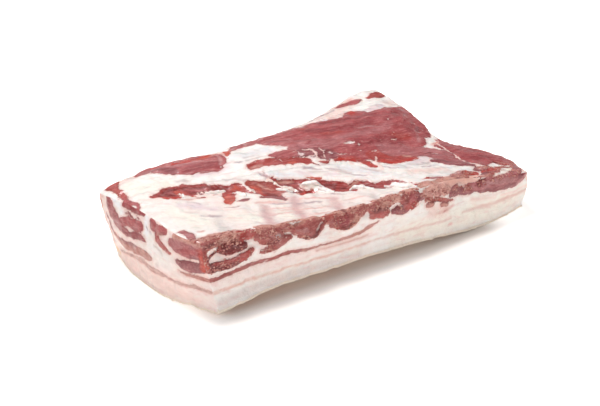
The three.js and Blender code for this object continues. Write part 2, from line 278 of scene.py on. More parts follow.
    (LEAN, "red", -1.4, [(84, 80, 2.4), (80, 75.6, 3.6), (76.4, 71.6, 3)]),
    (LEAN, "blood", -0.8, [(75.4, 68.6, 2.2), (72, 63.6, 1.7), (69.6, 59.8, 1.7)]),
    (LEAN, "plum", -0.3, [(79, 61, 1.4), (83, 60, 2.6), (87, 61, 1.3)]),
    (LEAN, "red", -1.0, [(87.4, 83, 2.2), (91, 83.6, 2.2), (92.6, 79, 1.8)]),
    (LEAN, "red", -1.2, [(92, 78, 1.8), (93.6, 75, 2.2), (95.6, 71, 1.6)]),
    (LEAN, "brown red", -1.0, [
        (101, 82, 1.6), (105, 78.4, 4), (110, 74, 5.4), (116, 68.4, 4.4), (119, 64.6, 2),
    ]),
    (LEAN, "brown red", -1.4, [(99, 69, 2.8), (105, 65, 5), (111, 62, 4.4)]),
    (LEAN, "plum", -1.2, [(103.6, 59, 2), (108, 57.4, 3.2), (111, 54, 2), (113, 50.4, 1)]),
    (LEAN, "brown", -0.6, [(98, 60, 1), (101, 57, 1)]),
    (LEAN, "pocket", -1.6, [
        (119.6, 80, 0.9), (124, 75, 2.2), (130, 70.8, 3.2), (135, 68.2, 3.4), (139, 68, 2),
    ]),
    (LEAN, "pocket", -1.0, [(139, 68, 1.6), (144, 67.6, 0.7)]),
    (LEAN, "red", -1.6, [(131.6, 65, 3), (134, 60.6, 2.8)]),
    (LEAN, "red", -0.8, [(122, 70.6, 0.8), (124.6, 68, 1.3)]),
    (LEAN, "bright red", -2.0, [(131, 53.8, 1.8), (135, 55.4, 2.8), (139, 56, 2.4), (142, 57, 1.4)]),
    (LEAN, "violet", -1.4, [(125.4, 62.8, 0.9), (127.2, 60.2, 1.1)]),
    (LEAN, "blood", -0.6, [(146.6, 71.2, 0.8), (152, 68.6, 1.3), (156.4, 66, 1.4)]),
    (LEAN, "pocket", -1.6, [
        (147, 65, 1.1), (151.4, 63.4, 1.8), (156, 58.6, 3.2), (161, 53.8, 4), (166, 51, 3.6),
    ]),
    (LEAN, "pocket", -1.6, [(166, 51, 3.4), (170, 48.6, 2), (168.6, 42, 1), (168, 39, 0.9)]),
    (LEAN, "red", -1.6, [(157, 50.4, 1.8), (161, 47.4, 2.8), (165.4, 44.6, 2.8)]),
    (LEAN, "pocket", -1.4, [(172, 49, 1.7), (176, 49.2, 1.6), (180, 49, 1.4)]),
    (LEAN, "pocket", -2.0, [
        (179, 48.6, 1.6), (183, 44.4, 3.6), (188, 38.8, 4.2), (192, 35.6, 4), (195, 34, 3),
    ]),
    (LEAN, "pocket", -1.4, [(194, 40.6, 1.6), (200, 39, 1.7), (205, 35, 1.6)]),
    (LEAN, "pocket", -1.8, [
        (200, 38.4, 1.4), (204, 34, 1.8), (208, 27.6, 2.8), (212, 19.6, 2.4), (216, 14.4, 1.5),
    ]),
    # their tints
    (ON_LEAN, "flank", 0, [(42, 98, 2.4), (38, 95, 2)]),
    (ON_LEAN, "deep blood", 0, [(47.8, 87.4, 1.4), (46.6, 90, 0.8)]),
    (ON_LEAN, "flank", 0, [(56, 94, 2.4), (66, 91, 2)]),
    (ON_LEAN, "deep blood", 0, [(105, 62.6, 1), (110, 62, 1.3)]),
    (ON_LEAN, "bright red", 0, [(101, 66, 1.4), (104, 64, 1.2)]),
    (ON_LEAN, "brown", 0, [(112, 76, 2), (106, 82, 1.4)]),
    (ON_LEAN, "blood", 0, [(102, 79, 1), (105, 74, 1.4), (104, 69, 1)]),
    (ON_LEAN, "tan", 0, [(108, 79, 0.6), (112, 73, 0.8), (116, 69.6, 0.6)]),
    (ON_LEAN, "deep blood", 0, [(107, 71, 0.6), (111, 67, 0.9), (114, 65, 0.5)]),
    (ON_LEAN, "bright red", 0, [(27, 91, 1.2), (34, 87, 1.6), (42, 86, 1)]),
    (ON_LEAN, "blood", 0, [(46.6, 93, 1), (49.4, 88, 1.6), (51, 84, 1)]),
    (ON_LEAN, "dark brown", 0, [(34, 95, 0.5), (42, 98.6, 0.8), (47, 97, 0.5)]),
    (ON_LEAN, "dark brown", 0, [(54, 96, 0.5), (62, 94, 0.8), (72, 90, 0.6), (84, 85, 0.4)]),
    (ON_LEAN, "blood", 0, [(86, 82, 1), (90, 83, 1), (92, 79, 0.8)]),
    (ON_LEAN, "bright red", 0, [(78, 74, 1.4), (82, 78, 1.4)]),
    (ON_LEAN, "plum", 0, [(107, 55, 1.6), (110, 52, 1)]),
    (ON_LEAN, "deep blood", 0, [(131, 53, 1)]),
    (ON_LEAN, "deep blood", 0, [(137, 58, 0.7), (141, 58, 0.9)]),
    (ON_LEAN, "salmon", 0, [(158, 48, 1), (162, 45.4, 1)]),
    (ON_LEAN, "deep blood", 0, [(169, 46, 0.7), (168, 41, 0.6)]),
    (ON_LEAN, "deep blood", 0, [(183, 41, 0.9), (190, 31.6, 0.8), (193, 30.4, 0.7)]),
    (ON_LEAN, "deep blood", 0, [(205, 30, 0.7), (211, 17.6, 0.7)]),
    (ON_LEAN, "tan", 0, [(172, 50.6, 0.7), (180, 51, 0.7)]),
    (ON_LEAN, "tan", 0, [(124, 78, 0.8), (134, 72, 0.7)]),
    # lips and flaps of fat between and before the pockets
    (FAT, "cream", 0.5, [(44.6, 91, 0.7), (46, 86, 1), (49, 81, 1.2)]),
    (FAT, "cream", 0.8, [(117, 81, 0.8), (120.6, 75.4, 1.2), (124, 70, 1.4), (128, 65, 1.2)]),
    (FAT, "pink fat", 0, [(33, 83, 0.4), (34, 87, 0.5)]),
    (FAT, "pink fat", 0, [(38, 82, 0.5), (39, 85, 0.4)]),
    (FAT, "pink fat", 0.2, [(57, 82, 0.9), (59, 88, 0.7)]),
    (FAT, "pink fat", 0.2, [(61.6, 81, 0.9), (63, 87.4, 0.8)]),
    (FAT, "pink fat", 0.2, [(66, 82, 0.9), (67, 86.6, 0.7)]),
    (FAT, "cream", 0.6, [(66, 83, 0.8), (72, 82, 1.4), (77, 81, 0.8)]),
    (FAT, "pink fat", 0, [(77, 76, 0.3), (82, 74.6, 0.4)]),
    (FAT, "cream", 0.8, [(97.6, 76, 1), (98, 70, 0.9)]),
    (FAT, "cream", 0.8, [(126, 70.4, 0.7), (128.6, 66, 1.2), (131, 62, 1)]),
    (FAT, "cream", 1.4, [(138.6, 65, 2.2), (144, 63.4, 3.4), (149.6, 61, 2.4)]),
    (FAT, "white", 0.8, [(149, 56, 2), (152, 50, 2)]),
    (FAT, "cream", 1.0, [(171, 44, 1.4), (175.6, 44.6, 1.6), (178, 40.6, 2)]),
    (FAT, "white", 1.0, [(199, 34, 1.3), (203, 28, 2.2), (206, 21, 2.6), (209, 15, 1.8)]),
    # the front edge, where the cut muscles reach over it
    (LEAN, "tan", 0.4, [(20, 15, 2.6), (36, 14.4, 3), (48, 13.6, 2.4), (56, 12.4, 1.6)]),
    (LEAN, "tan", 0.4, [(63, 12.4, 1.8), (76, 12, 2.4), (88, 11, 1.6), (98, 11, 2), (112, 11, 2.2)]),
    (LEAN, "tan", 0.4, [(122, 10.4, 1.6), (134, 11, 2.6), (144, 10.4, 1.8), (156, 10, 1.4)]),
    (LEAN, "tan", 0.4, [(166, 11, 2), (178, 11, 1.8), (188, 11, 1.4)]),
    (LEAN, "tan", 1.0, [(192, 11, 2.4), (199, 13, 3.6), (206, 12.6, 2.2)]),
    (LEAN, "tan", 0.6, [(212, 15, 1), (219, 18, 2.4), (227, 18, 2), (234, 17, 2)]),
    (LEAN, "mauve", 0.8, [(14, 18, 3), (15, 26, 3), (14, 33, 2)]),
    (LEAN, "tan", 0.6, [(10, 12, 4), (18, 12, 4), (30, 12, 3)]),
    (ON_LEAN, "red", 0, [(48, 13, 1.6), (54, 13, 2), (60, 12, 1.6)]),
    (ON_LEAN, "dark brown", 0, [(135.6, 13, 0.6), (139, 10.6, 0.8)]),
    # the right end: membrane, then the thin muscles of the tier
    (LEAN, "mauve", 0, [(224, 26, 0.5), (230, 27, 1.1), (236, 24.4, 1.6), (240.6, 19.6, 1.4)]),
    (ON_LEAN, "bright red", 0, [(226, 26.6, 0.8), (232, 27, 0.8)]),
    (LEAN, "plum", 0.7, [(264, 57, 4), (271, 51, 7), (279, 46, 7.4), (286, 40, 4)]),
    (LEAN, "mauve", 0.5, [(270, 67, 6), (280, 61, 8.4), (287, 52, 6)]),
    (LEAN, "flank", 0.7, [
        (292, 82, 7), (298, 79, 10), (301, 70, 13), (302, 58, 14), (302, 48, 11), (300, 41, 6),
    ]),
    (LEAN, "flank", 0.6, [
        (300, 92, 6), (308, 82, 8), (317, 70, 8), (321, 58, 8), (320, 46, 9), (317, 38, 7),
    ]),
    (LEAN, "red", 0.4, [(312, 38, 2.4), (317, 34, 2.6), (322, 32, 1.6)]),
    (ON_LEAN, "mauve", 0, [(296, 86, 4), (304, 80, 3), (310, 66, 2)]),
    (ON_LEAN, "flank dark", 0, [(296, 56, 4), (304, 50, 4), (312, 50, 3)]),
    (ON_LEAN, "mauve", 0, [(278, 62, 3), (284, 56, 3)]),
    (ON_LEAN, "salmon", 0, [(314, 37, 0.6), (319, 34, 0.7)]),
    (ON_LEAN, "deep blood", 0, [(311, 40, 1.2), (310.6, 35, 1.6)]),
    (ON_LEAN, "deep blood", 0, [(266, 74, 0.7), (272, 72, 0.9)]),
    (FAT, "glassy", 0.2, [(272, 70, 0.4), (276, 69, 0.8)]),
    (FAT, "pink fat", 0.3, [(291, 84, 1.1), (290, 74, 0.8), (290, 66, 0.7), (289, 56, 0.8), (286, 45, 0.6)]),
    (LEAN, "mauve", 0.9, [(246, 17, 2.4), (252, 19, 5), (259, 22, 6.4), (266, 25, 5.6), (271, 26, 3)]),
    (LEAN, "bright red", 0.4, [(264, 22, 2.4), (270, 23, 3.6), (277, 24, 3)]),
    (LEAN, "plum", 0.7, [(284, 29, 3.6), (290, 30, 5), (297, 30, 4)]),
    (LEAN, "bright red", 0.4, [(283, 19, 2.4), (288, 21, 4), (294, 23, 3.6), (299, 27, 2.6)]),
    (LEAN, "salmon", 0.5, [(297, 21, 2), (301, 24, 3), (304, 28, 2)]),
    (LEAN, "brown red", 0.3, [(304, 28, 2), (310, 28, 3), (316, 27, 2)]),
    (LEAN, "tan", 0.4, [(214, 12, 3), (224, 15, 5), (236, 15, 6), (246, 13, 4)]),
    (LEAN, "plum", 0.9, [(246, 11, 4), (256, 13, 6), (266, 12, 5)]),
    (LEAN, "mauve", 0.8, [(268, 12, 5), (282, 13, 7), (298, 14, 8), (310, 16, 6), (316, 20, 4)]),
    (ON_LEAN, "salmon", 0, [(276, 14, 1.4), (290, 15, 1.8), (304, 16, 1.6)]),
    (ON_LEAN, "plum", 0, [(272, 18, 1.6), (290, 20, 1.6)]),
    (LEAN, "deep blood", -0.8, [(268.6, 15.6, 1.4), (272, 18, 1.4)]),
    (ON_LEAN, "deep blood", 0, [(269, 23, 0.8), (273, 24, 0.7)]),
    (ON_LEAN, "deep blood", 0, [(286, 19, 0.8), (290, 22, 0.8)]),
    (ON_FAT, "coral", 0.8, [(270, 18, 1), (275, 18, 1.6), (279, 17, 1.6), (283, 15.6, 0.8)]),
    (ON_FAT, "red", 0, [(277, 20, 0.5), (280, 17.6, 0.6)]),
    (ON_FAT, "pink fat", 0.3, [(282, 37, 1.4), (292, 38, 2), (300, 38, 1.4)]),
    (ON_FAT, "glassy", 0, [(290, 41, 0.6), (296, 42, 0.8)]),
    (ON_FAT, "coral", 0.2, [(236, 18, 3), (248, 16, 4), (262, 16, 4)]),
    (FAT, "coral", 0.7, [(262, 13.4, 0.8), (267, 15.4, 1.8), (273, 17, 2), (279, 16, 1)]),
    (FAT, "cream", 0.7, [(288, 13.6, 1.2), (294, 14.6, 2), (300, 15.6, 2.4), (305, 17, 2)]),
    (FAT, "cream", 0.6, [(305, 18, 1.6), (311, 20, 3), (317, 23, 2.4), (321, 28, 1.2)]),
    (ON_FAT, "salmon", 0.4, [(265, 17, 0.6), (271, 20.6, 0.8), (276, 20, 0.5)]),
    (ON_LEAN, "blood", 0, [(264, 22, 1.2), (270, 23.6, 1.8), (275, 25, 1)]),
    (LEAN, "tan", 0.6, [(239, 17, 1), (244, 18, 2.2), (249, 16, 1.4)]),
    (LEAN, "tan", 0.6, [(253, 18.6, 1.2), (258, 17.6, 1.8), (262, 15, 1.2)]),
    (FAT, "pink fat", 0.3, [(323, 14, 2), (326, 20, 1.8), (328.6, 28, 1.4), (330, 36, 1)]),
    (ON_LEAN, "salmon", 0, [(251, 19, 0.8), (259, 21, 1.4), (267, 25, 0.8)]),
    (ON_LEAN, "blushed", 0, [(286, 29, 0.8), (291, 30, 1.2), (297, 30, 0.8)]),
    (ON_LEAN, "pale salmon", 0, [(250, 22, 0.8), (258, 26, 0.8), (266, 28.6, 0.6)]),
    (ON_LEAN, "salmon", 0, [(287, 32, 0.8), (294, 33, 1)]),
    (ON_LEAN, "blood", 0, [(297, 23, 1.6), (302, 26, 1.6), (307, 28, 1)]),
    (LEAN, "mauve", 0.4, [(310, 13, 3), (317, 18, 4), (323, 26, 4), (326, 36, 4), (327, 46, 3)]),
    (FAT, "white", 0.9, [(285, 94, 1), (290, 95, 2.2), (297, 99, 3.4), (303, 104, 3.4)]),
    (FAT, "blushed", 0.6, [(284, 86, 0.8), (289.6, 87, 1.8), (294.6, 90, 1.4)]),
    (ON_FAT, "blood", 0, [(287, 86.6, 0.8), (292, 88, 0.9)]),
    (FAT, "pink fat", 0.5, [(305, 104, 1.6), (306, 113, 1)]),
    # muscle at the far right corner
    (LEAN, "flank", 0.3, [(252, 177, 1.6), (262, 179, 3.4), (270, 179, 4.6), (278, 179, 3.4)]),
    (LEAN, "red", 0.3, [(288, 178, 1.8), (294.5, 180, 4), (301, 183, 5.4), (307, 187, 4.8)]),
    (ON_LEAN, "dark brown", 0, [(274, 174, 1), (278, 176, 0.8)]),
    (ON_LEAN, "dark brown", 0, [(296, 175.6, 0.8), (302, 178, 1)]),
]

FRONT = [
    (ON_FAT, "pale pink", 0, [(24, 24, 3), (80, 24, 3), (160, 24, 3)]),
    (ON_FAT, "cream", 0, [(190, 14, 8), (250, 14, 9), (310, 14, 8)]),
    # grey along the foot of the front is painted shade
    (ON_FAT, "grey fat and painted shade", 0, [(26, 10, 3), (60, 12, 3), (100, 12, 3), (150, 11, 2)]),
    (ON_FAT, "grey fat and painted shade", 0, [(20, 41.6, 2), (34, 41, 2), (50, 42, 2), (62, 43, 2)]),
    (ON_FAT, "grey fat and painted shade", 0, [(84, 45, 2), (88, 42, 2)]),
    (ON_FAT, "grey fat and painted shade", 0, [(150, 40, 2), (158, 40, 2)]),
    (ON_FAT, "pink fat", 0, [(220, 26, 4), (234, 24, 4)]),
    (ON_FAT, "coral", 0, [(236, 43, 4), (250, 41, 4), (268, 39, 3)]),
    (ON_FAT, "blushed", 0, [(224, 22.6, 0.5), (233, 23.6, 1), (243, 25, 0.5)]),
    (ON_FAT, "red", 0, [(232.6, 22.8, 0.5), (236, 23.6, 0.5)]),
    (ON_FAT, "blushed", 0, [(238, 10.6, 0.6), (240, 10.2, 0.8)]),
    (ON_FAT, "pink fat", 0, [(262, 24.6, 1), (274, 22.6, 1.6), (285, 21, 1)]),
    # thin streaks of lean in the fat
    (LEAN, "brown", -0.2, [(18, 27.8, 1.2), (24, 28, 1.4), (50, 29.4, 1.5), (80, 30, 1.4), (100, 29, 1.2)]),
    (LEAN, "salmon", -0.1, [(98, 29, 1.1), (118, 28.2, 0.8), (134, 28, 1), (150, 28.6, 1.4), (162, 31, 1.2)]),
    (LEAN, "salmon", -0.1, [(160, 30.6, 1), (168, 32.6, 0.6)]),
    (ON_FAT, "tan", 0, [(20, 18.6, 0.8), (60, 18.8, 0.7), (110, 18.2, 0.6), (160, 18, 0.4)]),
    (ON_FAT, "salmon", 0, [(110, 25, 0.5), (130, 24.4, 0.7), (158, 24, 0.4)]),
    (ON_FAT, "pale salmon", 0, [(160, 18, 0.4), (200, 17.2, 0.8), (240, 15.6, 0.4)]),
    (ON_FAT, "pale salmon", 0, [(252, 17.4, 0.4), (272, 16.4, 1), (300, 16.8, 1.3), (326, 17.4, 1)]),
    (ON_FAT, "pink fat", 0, [(292, 21, 0.6), (310, 20.6, 0.9), (324, 21, 0.6)]),
    # a brownish crust where the muscles between the ribs were cut
    (LEAN, "tan", 0.4, [(16, 55, 1.8), (34, 52.6, 3), (46, 51.6, 3), (58, 51.6, 2.4)]),
    (LEAN, "tan", 0.4, [(63, 50.6, 2), (74, 49.6, 3), (84, 48.6, 2.6), (90, 47.6, 1.6)]),
    (LEAN, "tan", 0.4, [(95, 47, 2), (106, 46.6, 4), (116, 46.4, 2.6), (122, 46, 1.8)]),
    (LEAN, "tan", 0.4, [(121, 46, 2.4), (130, 45.6, 3.4), (142, 44.6, 3), (150, 44.6, 1.6)]),
    (LEAN, "tan", 0.4, [(152, 46, 2), (164, 45.6, 2.6), (176, 45, 2.4), (188, 45, 1.6)]),
    (LEAN, "red", 0.6, [(15, 55, 2), (16, 46, 2.4), (17.5, 38, 2.6)]),
    # cut muscle ends between the ribs, from left to right
    (LEAN, "brown", 1.4, [(16.6, 52.4, 2.2), (20, 52.8, 3), (25, 53, 2.8), (28, 53.6, 1.4)]),
    (LEAN, "dark brown", 0.2, [(19, 42.6, 0.9), (22.6, 45, 1.2), (27, 47, 0.7)]),
    (LEAN, "dark brown", 1.0, [
        (18, 36.6, 2.2), (22, 36.6, 2.6), (29.6, 36.4, 2.7), (39, 36, 2.6), (47, 37, 2.4),
    ]),
    (LEAN, "red", 1.0, [(47, 37, 2.3), (53, 38.8, 2), (56, 40.2, 1)]),
    (LEAN, "dark brown", 1.8, [(31, 47.4, 2.2), (37, 46, 3.7), (44, 45.6, 3.3), (50, 45.6, 2.2)]),
    (LEAN, "red", 1.2, [(49, 50.4, 1.8), (54, 51.2, 2.4), (59, 52.4, 1.6)]),
    (LEAN, "brown", 2.0, [(62, 48, 2.2), (66, 47, 4), (72, 46.4, 5), (77, 46.4, 4.2), (79.6, 46, 2.6)]),
    (LEAN, "brown", 1.0, [(63, 37, 0.7), (69, 38, 1.6), (76, 39.8, 2.5), (83, 41, 2), (88, 41.6, 1)]),
    (LEAN, "brown", 1.0, [(82, 48.6, 1.6), (87, 48.6, 1.8)]),
    (LEAN, "brown", 2.2, [(93, 45, 2.2), (98, 44, 4.2), (104, 42.8, 5.6), (110, 42.6, 5), (114, 43, 3.4)]),
    (LEAN, "brown", 1.0, [(114, 43.6, 2.6), (119, 45.4, 1.4)]),
    (LEAN, "brown red", 0.8, [(118, 47, 1.4), (122, 46, 1.8), (127, 46.6, 1.6)]),
    (LEAN, "brown", 2.0, [(126, 42.6, 2.4), (131, 41.8, 4.2), (137, 41.2, 5.2), (141, 41.8, 3.6)]),
    (LEAN, "tan", 0.6, [(140, 38, 1.3), (145, 39, 1.5), (150, 40.6, 1)]),
    (LEAN, "brown", 1.2, [(150, 43.6, 1.7), (154, 44.6, 2.3), (158.6, 46, 1.4)]),
    (LEAN, "brown", 1.8, [(161.6, 44, 2.2), (165, 43.4, 4), (170, 43, 3.2)]),
    (LEAN, "tan", 1.4, [(173, 43.6, 3), (176.6, 43.8, 2.7), (179, 44, 1.4)]),
    (LEAN, "brown red", 0.8, [(161.6, 38.8, 1.6), (163, 37.6, 1)]),
    (LEAN, "red", 0.8, [(167, 38.4, 2.2), (171, 37, 2), (176, 38, 1.4)]),
    (LEAN, "tan", 1.0, [(181, 45, 1.6), (185, 44.6, 1.8), (189, 45, 0.9)]),
    (LEAN, "plum", 1.0, [(181.6, 37, 1.4), (186, 36.4, 2.4), (191, 35.6, 2.4), (194, 35.6, 1.2)]),
    (LEAN, "brown", 1.8, [(191.6, 43, 2.4), (196, 43.4, 3.8), (201, 43, 4), (205, 42.6, 2.4)]),
    (LEAN, "red", 0.9, [(194, 38.4, 1.8), (199, 38.6, 3), (203, 39, 1.8)]),
    (LEAN, "plum", 0.9, [(206, 42, 1.8), (211, 40.4, 1.5)]),
    (LEAN, "rosy", 0.9, [(214, 42, 2.2), (220, 41.6, 3.4), (227, 41, 3.8), (233, 40, 3.4), (239, 39, 2.4)]),
    (LEAN, "brown red", 0.2, [
        (214, 37, 1.4), (220, 35.4, 2.2), (228, 33.4, 1.8), (236, 31, 1.4), (243, 29, 0.7),
    ]),
    (LEAN, "salmon", 0.6, [(216, 32.4, 1.6), (221, 31.6, 1.4)]),
    (LEAN, "salmon", 0.4, [(231, 29, 1), (236, 28, 0.7)]),
    (LEAN, "plum", 1.2, [
        (240, 34, 1.4), (245, 35.5, 3.1), (250, 35.6, 3.3), (256, 33.6, 3.1), (262, 33.4, 3),
    ]),
    (LEAN, "brown", 0.9, [(260, 33.6, 2.8), (268, 33.4, 2.4)]),
    (LEAN, "mauve", 1.2, [(266, 34, 2.4), (272, 33, 4.2), (284, 32, 4.7), (294, 31, 4.7), (304, 29.8, 4.3)]),
    (LEAN, "mauve", 1.0, [(303, 29.8, 4.2), (312, 29.6, 3.4), (318, 31, 2.6), (322, 33, 2)]),
    # their tints: dark hearts, pale tops, brighter and bloodier ends
    (ON_LEAN, "salmon", 0, [(243, 37, 0.6), (250, 38, 1.1), (258, 36, 0.8)]),
    (ON_LEAN, "dark brown", 0, [(17, 52, 1.2), (22, 52, 1.4), (26, 53, 1)]),
    (ON_LEAN, "deep blood", 0, [(23, 45, 0.7), (27, 47, 0.5)]),
    (ON_LEAN, "deep blood", 0, [(32, 46, 1), (37, 44.6, 1.6), (42, 43.6, 1)]),
    (ON_LEAN, "red", 0, [(24, 38.6, 1), (40, 37.8, 1), (50, 39, 1)]),
    (ON_LEAN, "dark brown", 0, [(68, 43, 1), (74, 42.6, 1.2), (80, 43.6, 0.7)]),
    (ON_LEAN, "grey fat and painted shade", 0, [(75, 46.4, 0.8), (78, 45.6, 0.8)]),
    (ON_LEAN, "dark brown", 0, [(99, 39.6, 1.2), (105, 38, 1.4), (112, 39.6, 1.2)]),
    (ON_LEAN, "dark brown", 0, [(132, 38.6, 1.2), (137, 37.6, 1.6), (141, 38.6, 1)]),
    (ON_LEAN, "dark brown", 0, [(136, 48.6, 0.5), (138.6, 46.6, 0.6), (139.6, 44, 0.4)]),
    (ON_LEAN, "flank dark", 0, [(131, 42, 2), (137, 42, 2.4)]),
    (ON_LEAN, "dark brown", 0, [(164, 42, 1.4), (168, 42.6, 1.6)]),
    (ON_LEAN, "dark brown", 0, [(176, 41.6, 1), (172, 41, 1)]),
    (ON_LEAN, "deep blood", 0, [(190.6, 40, 0.6), (195, 41.2, 0.9)]),
    (ON_LEAN, "flank", 0, [(198, 43, 2), (203, 43, 2)]),
    (ON_LEAN, "blood", 0, [(15, 46, 1.6), (16.6, 41, 1.8), (18.6, 36.4, 1.8)]),
    (ON_LEAN, "deep blood", 0, [(214, 34.6, 0.4), (221, 33.4, 0.7), (230, 30.8, 0.7), (238, 29.2, 0.5)]),
    (ON_LEAN, "deep blood", 0, [(277, 38, 0.8), (272, 37.6, 1.4), (270, 35.6, 1.5), (269.6, 33.6, 0.9)]),
    (ON_LEAN, "salmon", 0, [(218, 40, 0.8), (222, 43, 0.8)]),
    (ON_LEAN, "salmon", 0, [(228, 39, 0.8), (230, 42, 0.8)]),
    (ON_LEAN, "plum", 0, [(258, 30.4, 1), (270, 28.8, 1.6), (284, 28, 1.8), (296, 27, 1.6), (308, 27, 1.2)]),
    (ON_LEAN, "lilac lean and painted sheen", 0, [(276, 33.6, 1.6), (286, 33.4, 2), (298, 32, 1.6), (308, 30, 1)]),
    (ON_LEAN, "plum", 0, [(313, 31, 1.4), (318, 32, 1.6)]),
    # fat between and across them
    (FAT, "grey fat and painted shade", -0.3, [(28, 45, 0.9), (32, 42.6, 1), (38, 41.2, 0.8), (46, 41.4, 0.6)]),
    (FAT, "grey fat and painted shade", -0.3, [(51, 47.6, 0.5), (56, 47.6, 0.9)]),
    (FAT, "grey fat and painted shade", -0.3, [(109.6, 40.8, 0.4), (113, 43, 0.5), (117, 45, 0.4)]),
    (FAT, "pink fat", 0, [(251.6, 38, 1), (255, 36.4, 1)]),
    (FAT, "pink fat", 0, [(322, 36, 1.6), (324, 33, 2.4), (325, 27, 2)]),
    (FAT, "pink fat", 0, [(222, 39.6, 0.4), (223, 36, 0.6)]),
    (FAT, "pink fat", 0, [(231, 36.6, 0.5), (232, 34, 0.3)]),
    (FAT, "pink fat", 0, [(202, 36.4, 0.3), (205, 38, 0.5)]),
]

LEFT = [
    (ON_FAT, "pink fat", 0, [(20, 8, 6), (60, 8, 7), (100, 8, 6)]),
    (ON_FAT, "white", 0, [(45, 33, 7), (60, 34, 7), (66, 42, 4)]),
    (ON_FAT, "cartilage", 0, [(71, 54, 2.4), (70, 48, 2.6), (68, 43, 2)]),
    (ON_FAT, "amber", 0, [(112, 8, 1.4), (120, 10, 1.6)]),
    (LEAN, "blood", 0.3, [(132, 53, 1.6), (131, 47, 1.4), (130, 42, 0.8)]),
    (ON_FAT, "cartilage", 0.8, [(118, 55, 1.4), (111, 53.4, 2.6), (105, 48.8, 3), (101.4, 46, 2)]),
    (ON_FAT, "glassy", 0, [(57.6, 39, 0.5), (52, 37, 0.6), (47, 34.6, 0.4)]),
    (ON_FAT, "violet", 0, [(69, 47.6, 0.5), (67, 46.4, 0.5)]),
    (ON_FAT, "violet", 0, [(64, 46, 0.4), (62, 45.4, 0.5)]),
    (ON_FAT, "pink fat", 0, [(126, 50, 3), (127, 42, 3), (124, 32, 3), (120, 20, 3)]),
    (ON_FAT, "blushed", 0, [(131, 52, 2), (128, 52.6, 2)]),
    (ON_FAT, "blushed", 0, [(128, 32, 1.6), (120, 16, 1.4)]),
    # layers of the belly wall, from the rind up
    (LEAN, "pale salmon", -0.1, [
        (112, 12, 0.8), (97, 15.4, 1.3), (88, 16.4, 1.4), (73, 18, 2.2), (62.6, 17, 2.5),
    ]),
    (LEAN, "pale salmon", -0.1, [(62.6, 17, 2.4), (53, 17.6, 2.1), (43, 17.6, 1.2), (33, 18, 1.3)]),
    (LEAN, "pale salmon", -0.1, [(33, 18, 1.3), (24, 18.8, 1.4), (16, 19.6, 1.2), (4, 19.4, 1)]),
    (LEAN, "salmon", -0.1, [(29, 28.6, 0.7), (20, 28.6, 1.4), (10, 28.4, 1.6), (3, 28, 1.4)]),
    (LEAN, "lilac lean and painted sheen", -0.1, [(122, 40, 1), (119, 32, 1.4), (115, 26.6, 1.6), (110, 23.6, 1.8)]),
    (LEAN, "salmon", 0.3, [(114, 24.6, 1.6), (108, 23, 2.7), (102, 22.8, 3.7), (91, 23.8, 4)]),
    (LEAN, "salmon", 0.3, [(91, 23.8, 4), (78, 25.2, 3.7), (68, 25.6, 3.3), (62, 25.4, 2)]),
    (LEAN, "mauve", 0.5, [
        (119.4, 54, 2), (117, 48, 4.2), (113.4, 42.4, 4.6), (108.6, 38.4, 4.6), (101, 35.6, 3.8),
    ]),
    (LEAN, "mauve", 0.5, [(101, 35.6, 3.6), (94, 34, 2.4)]),
    (LEAN, "flank dark", 0.5, [
        (95, 33.2, 0.8), (88, 34.4, 2.2), (80, 37, 2.5), (74, 38, 1.9), (69.6, 36.6, 0.7),
    ]),
    (LEAN, "flank", 0.7, [(103, 41.2, 1.2), (98, 42, 2.7), (92, 43.4, 3.6), (85, 43.6, 4), (77, 45, 3.8)]),
    (LEAN, "flank dark", 0.5, [
        (101, 53.4, 1.8), (94, 54, 2.2), (86, 54.4, 2.3), (79, 54.4, 1.9), (74, 55, 0.9),
    ]),
    (LEAN, "plum", 0.1, [(97, 48.6, 0.7), (92, 49.4, 1.1), (88, 48.6, 1)]),
    (LEAN, "plum", 0.1, [(84, 49.4, 0.6), (80, 50, 0.6), (78, 49.4, 0.4)]),
    (LEAN, "flank", 0.7, [(64, 54, 2), (61.6, 51.6, 3.4), (56, 51, 3.2), (50, 51.8, 2.8), (45, 53, 1.8)]),
    (LEAN, "red", 0.4, [(56, 46, 1.3), (54.4, 44.6, 2.3), (49, 42.8, 2.5), (42, 40.8, 1.9), (36.6, 39.6, 1)]),
    (LEAN, "mauve", 0.9, [(36, 48, 3), (30, 48.4, 5.6), (20, 49, 7), (10, 49.6, 6)]),
    (LEAN, "plum", 0.5, [(28.4, 36, 2.3), (24, 35.6, 3.7), (18, 35.8, 4), (11, 36.6, 4)]),
    (LEAN, "red", 0.4, [(10, 55, 2), (9.6, 46, 2), (9, 38, 2.2)]),
    (LEAN, "mauve", 0.8, [(12, 55, 3), (24, 55, 3), (34, 54, 2)]),
    (ON_LEAN, "tan", 0, [(10, 55.6, 1.6), (22, 55.6, 2), (34, 54, 2)]),
    (ON_LEAN, "flank", 0, [(20, 47, 2.4), (27, 45, 1.6), (14, 48, 2)]),
    (ON_LEAN, "plum", 0, [(12, 43, 1.4), (18, 43, 1)]),
    (ON_LEAN, "flank dark", 0, [(119, 52, 1.4), (117, 47, 1.4)]),
    (ON_LEAN, "plum", 0, [(104, 34.4, 1), (96, 33, 0.8)]),
    (ON_LEAN, "plum", 0, [(106, 25.4, 0.8), (94, 26.4, 0.9), (80, 28, 0.8)]),
    (ON_LEAN, "flank dark", 0, [(64.6, 54, 1.4), (64, 50.4, 1)]),
    (ON_LEAN, "salmon", 0, [(54, 48.4, 0.6), (48, 49.4, 0.7)]),
    (ON_LEAN, "blood", 0, [(9.6, 45, 1.2), (9.4, 40, 1.6), (8, 35.4, 1.4)]),
    (FAT, "pink fat", 0, [(29, 41.6, 0.6), (20, 40.6, 0.5), (13, 40.4, 0.3)]),
]

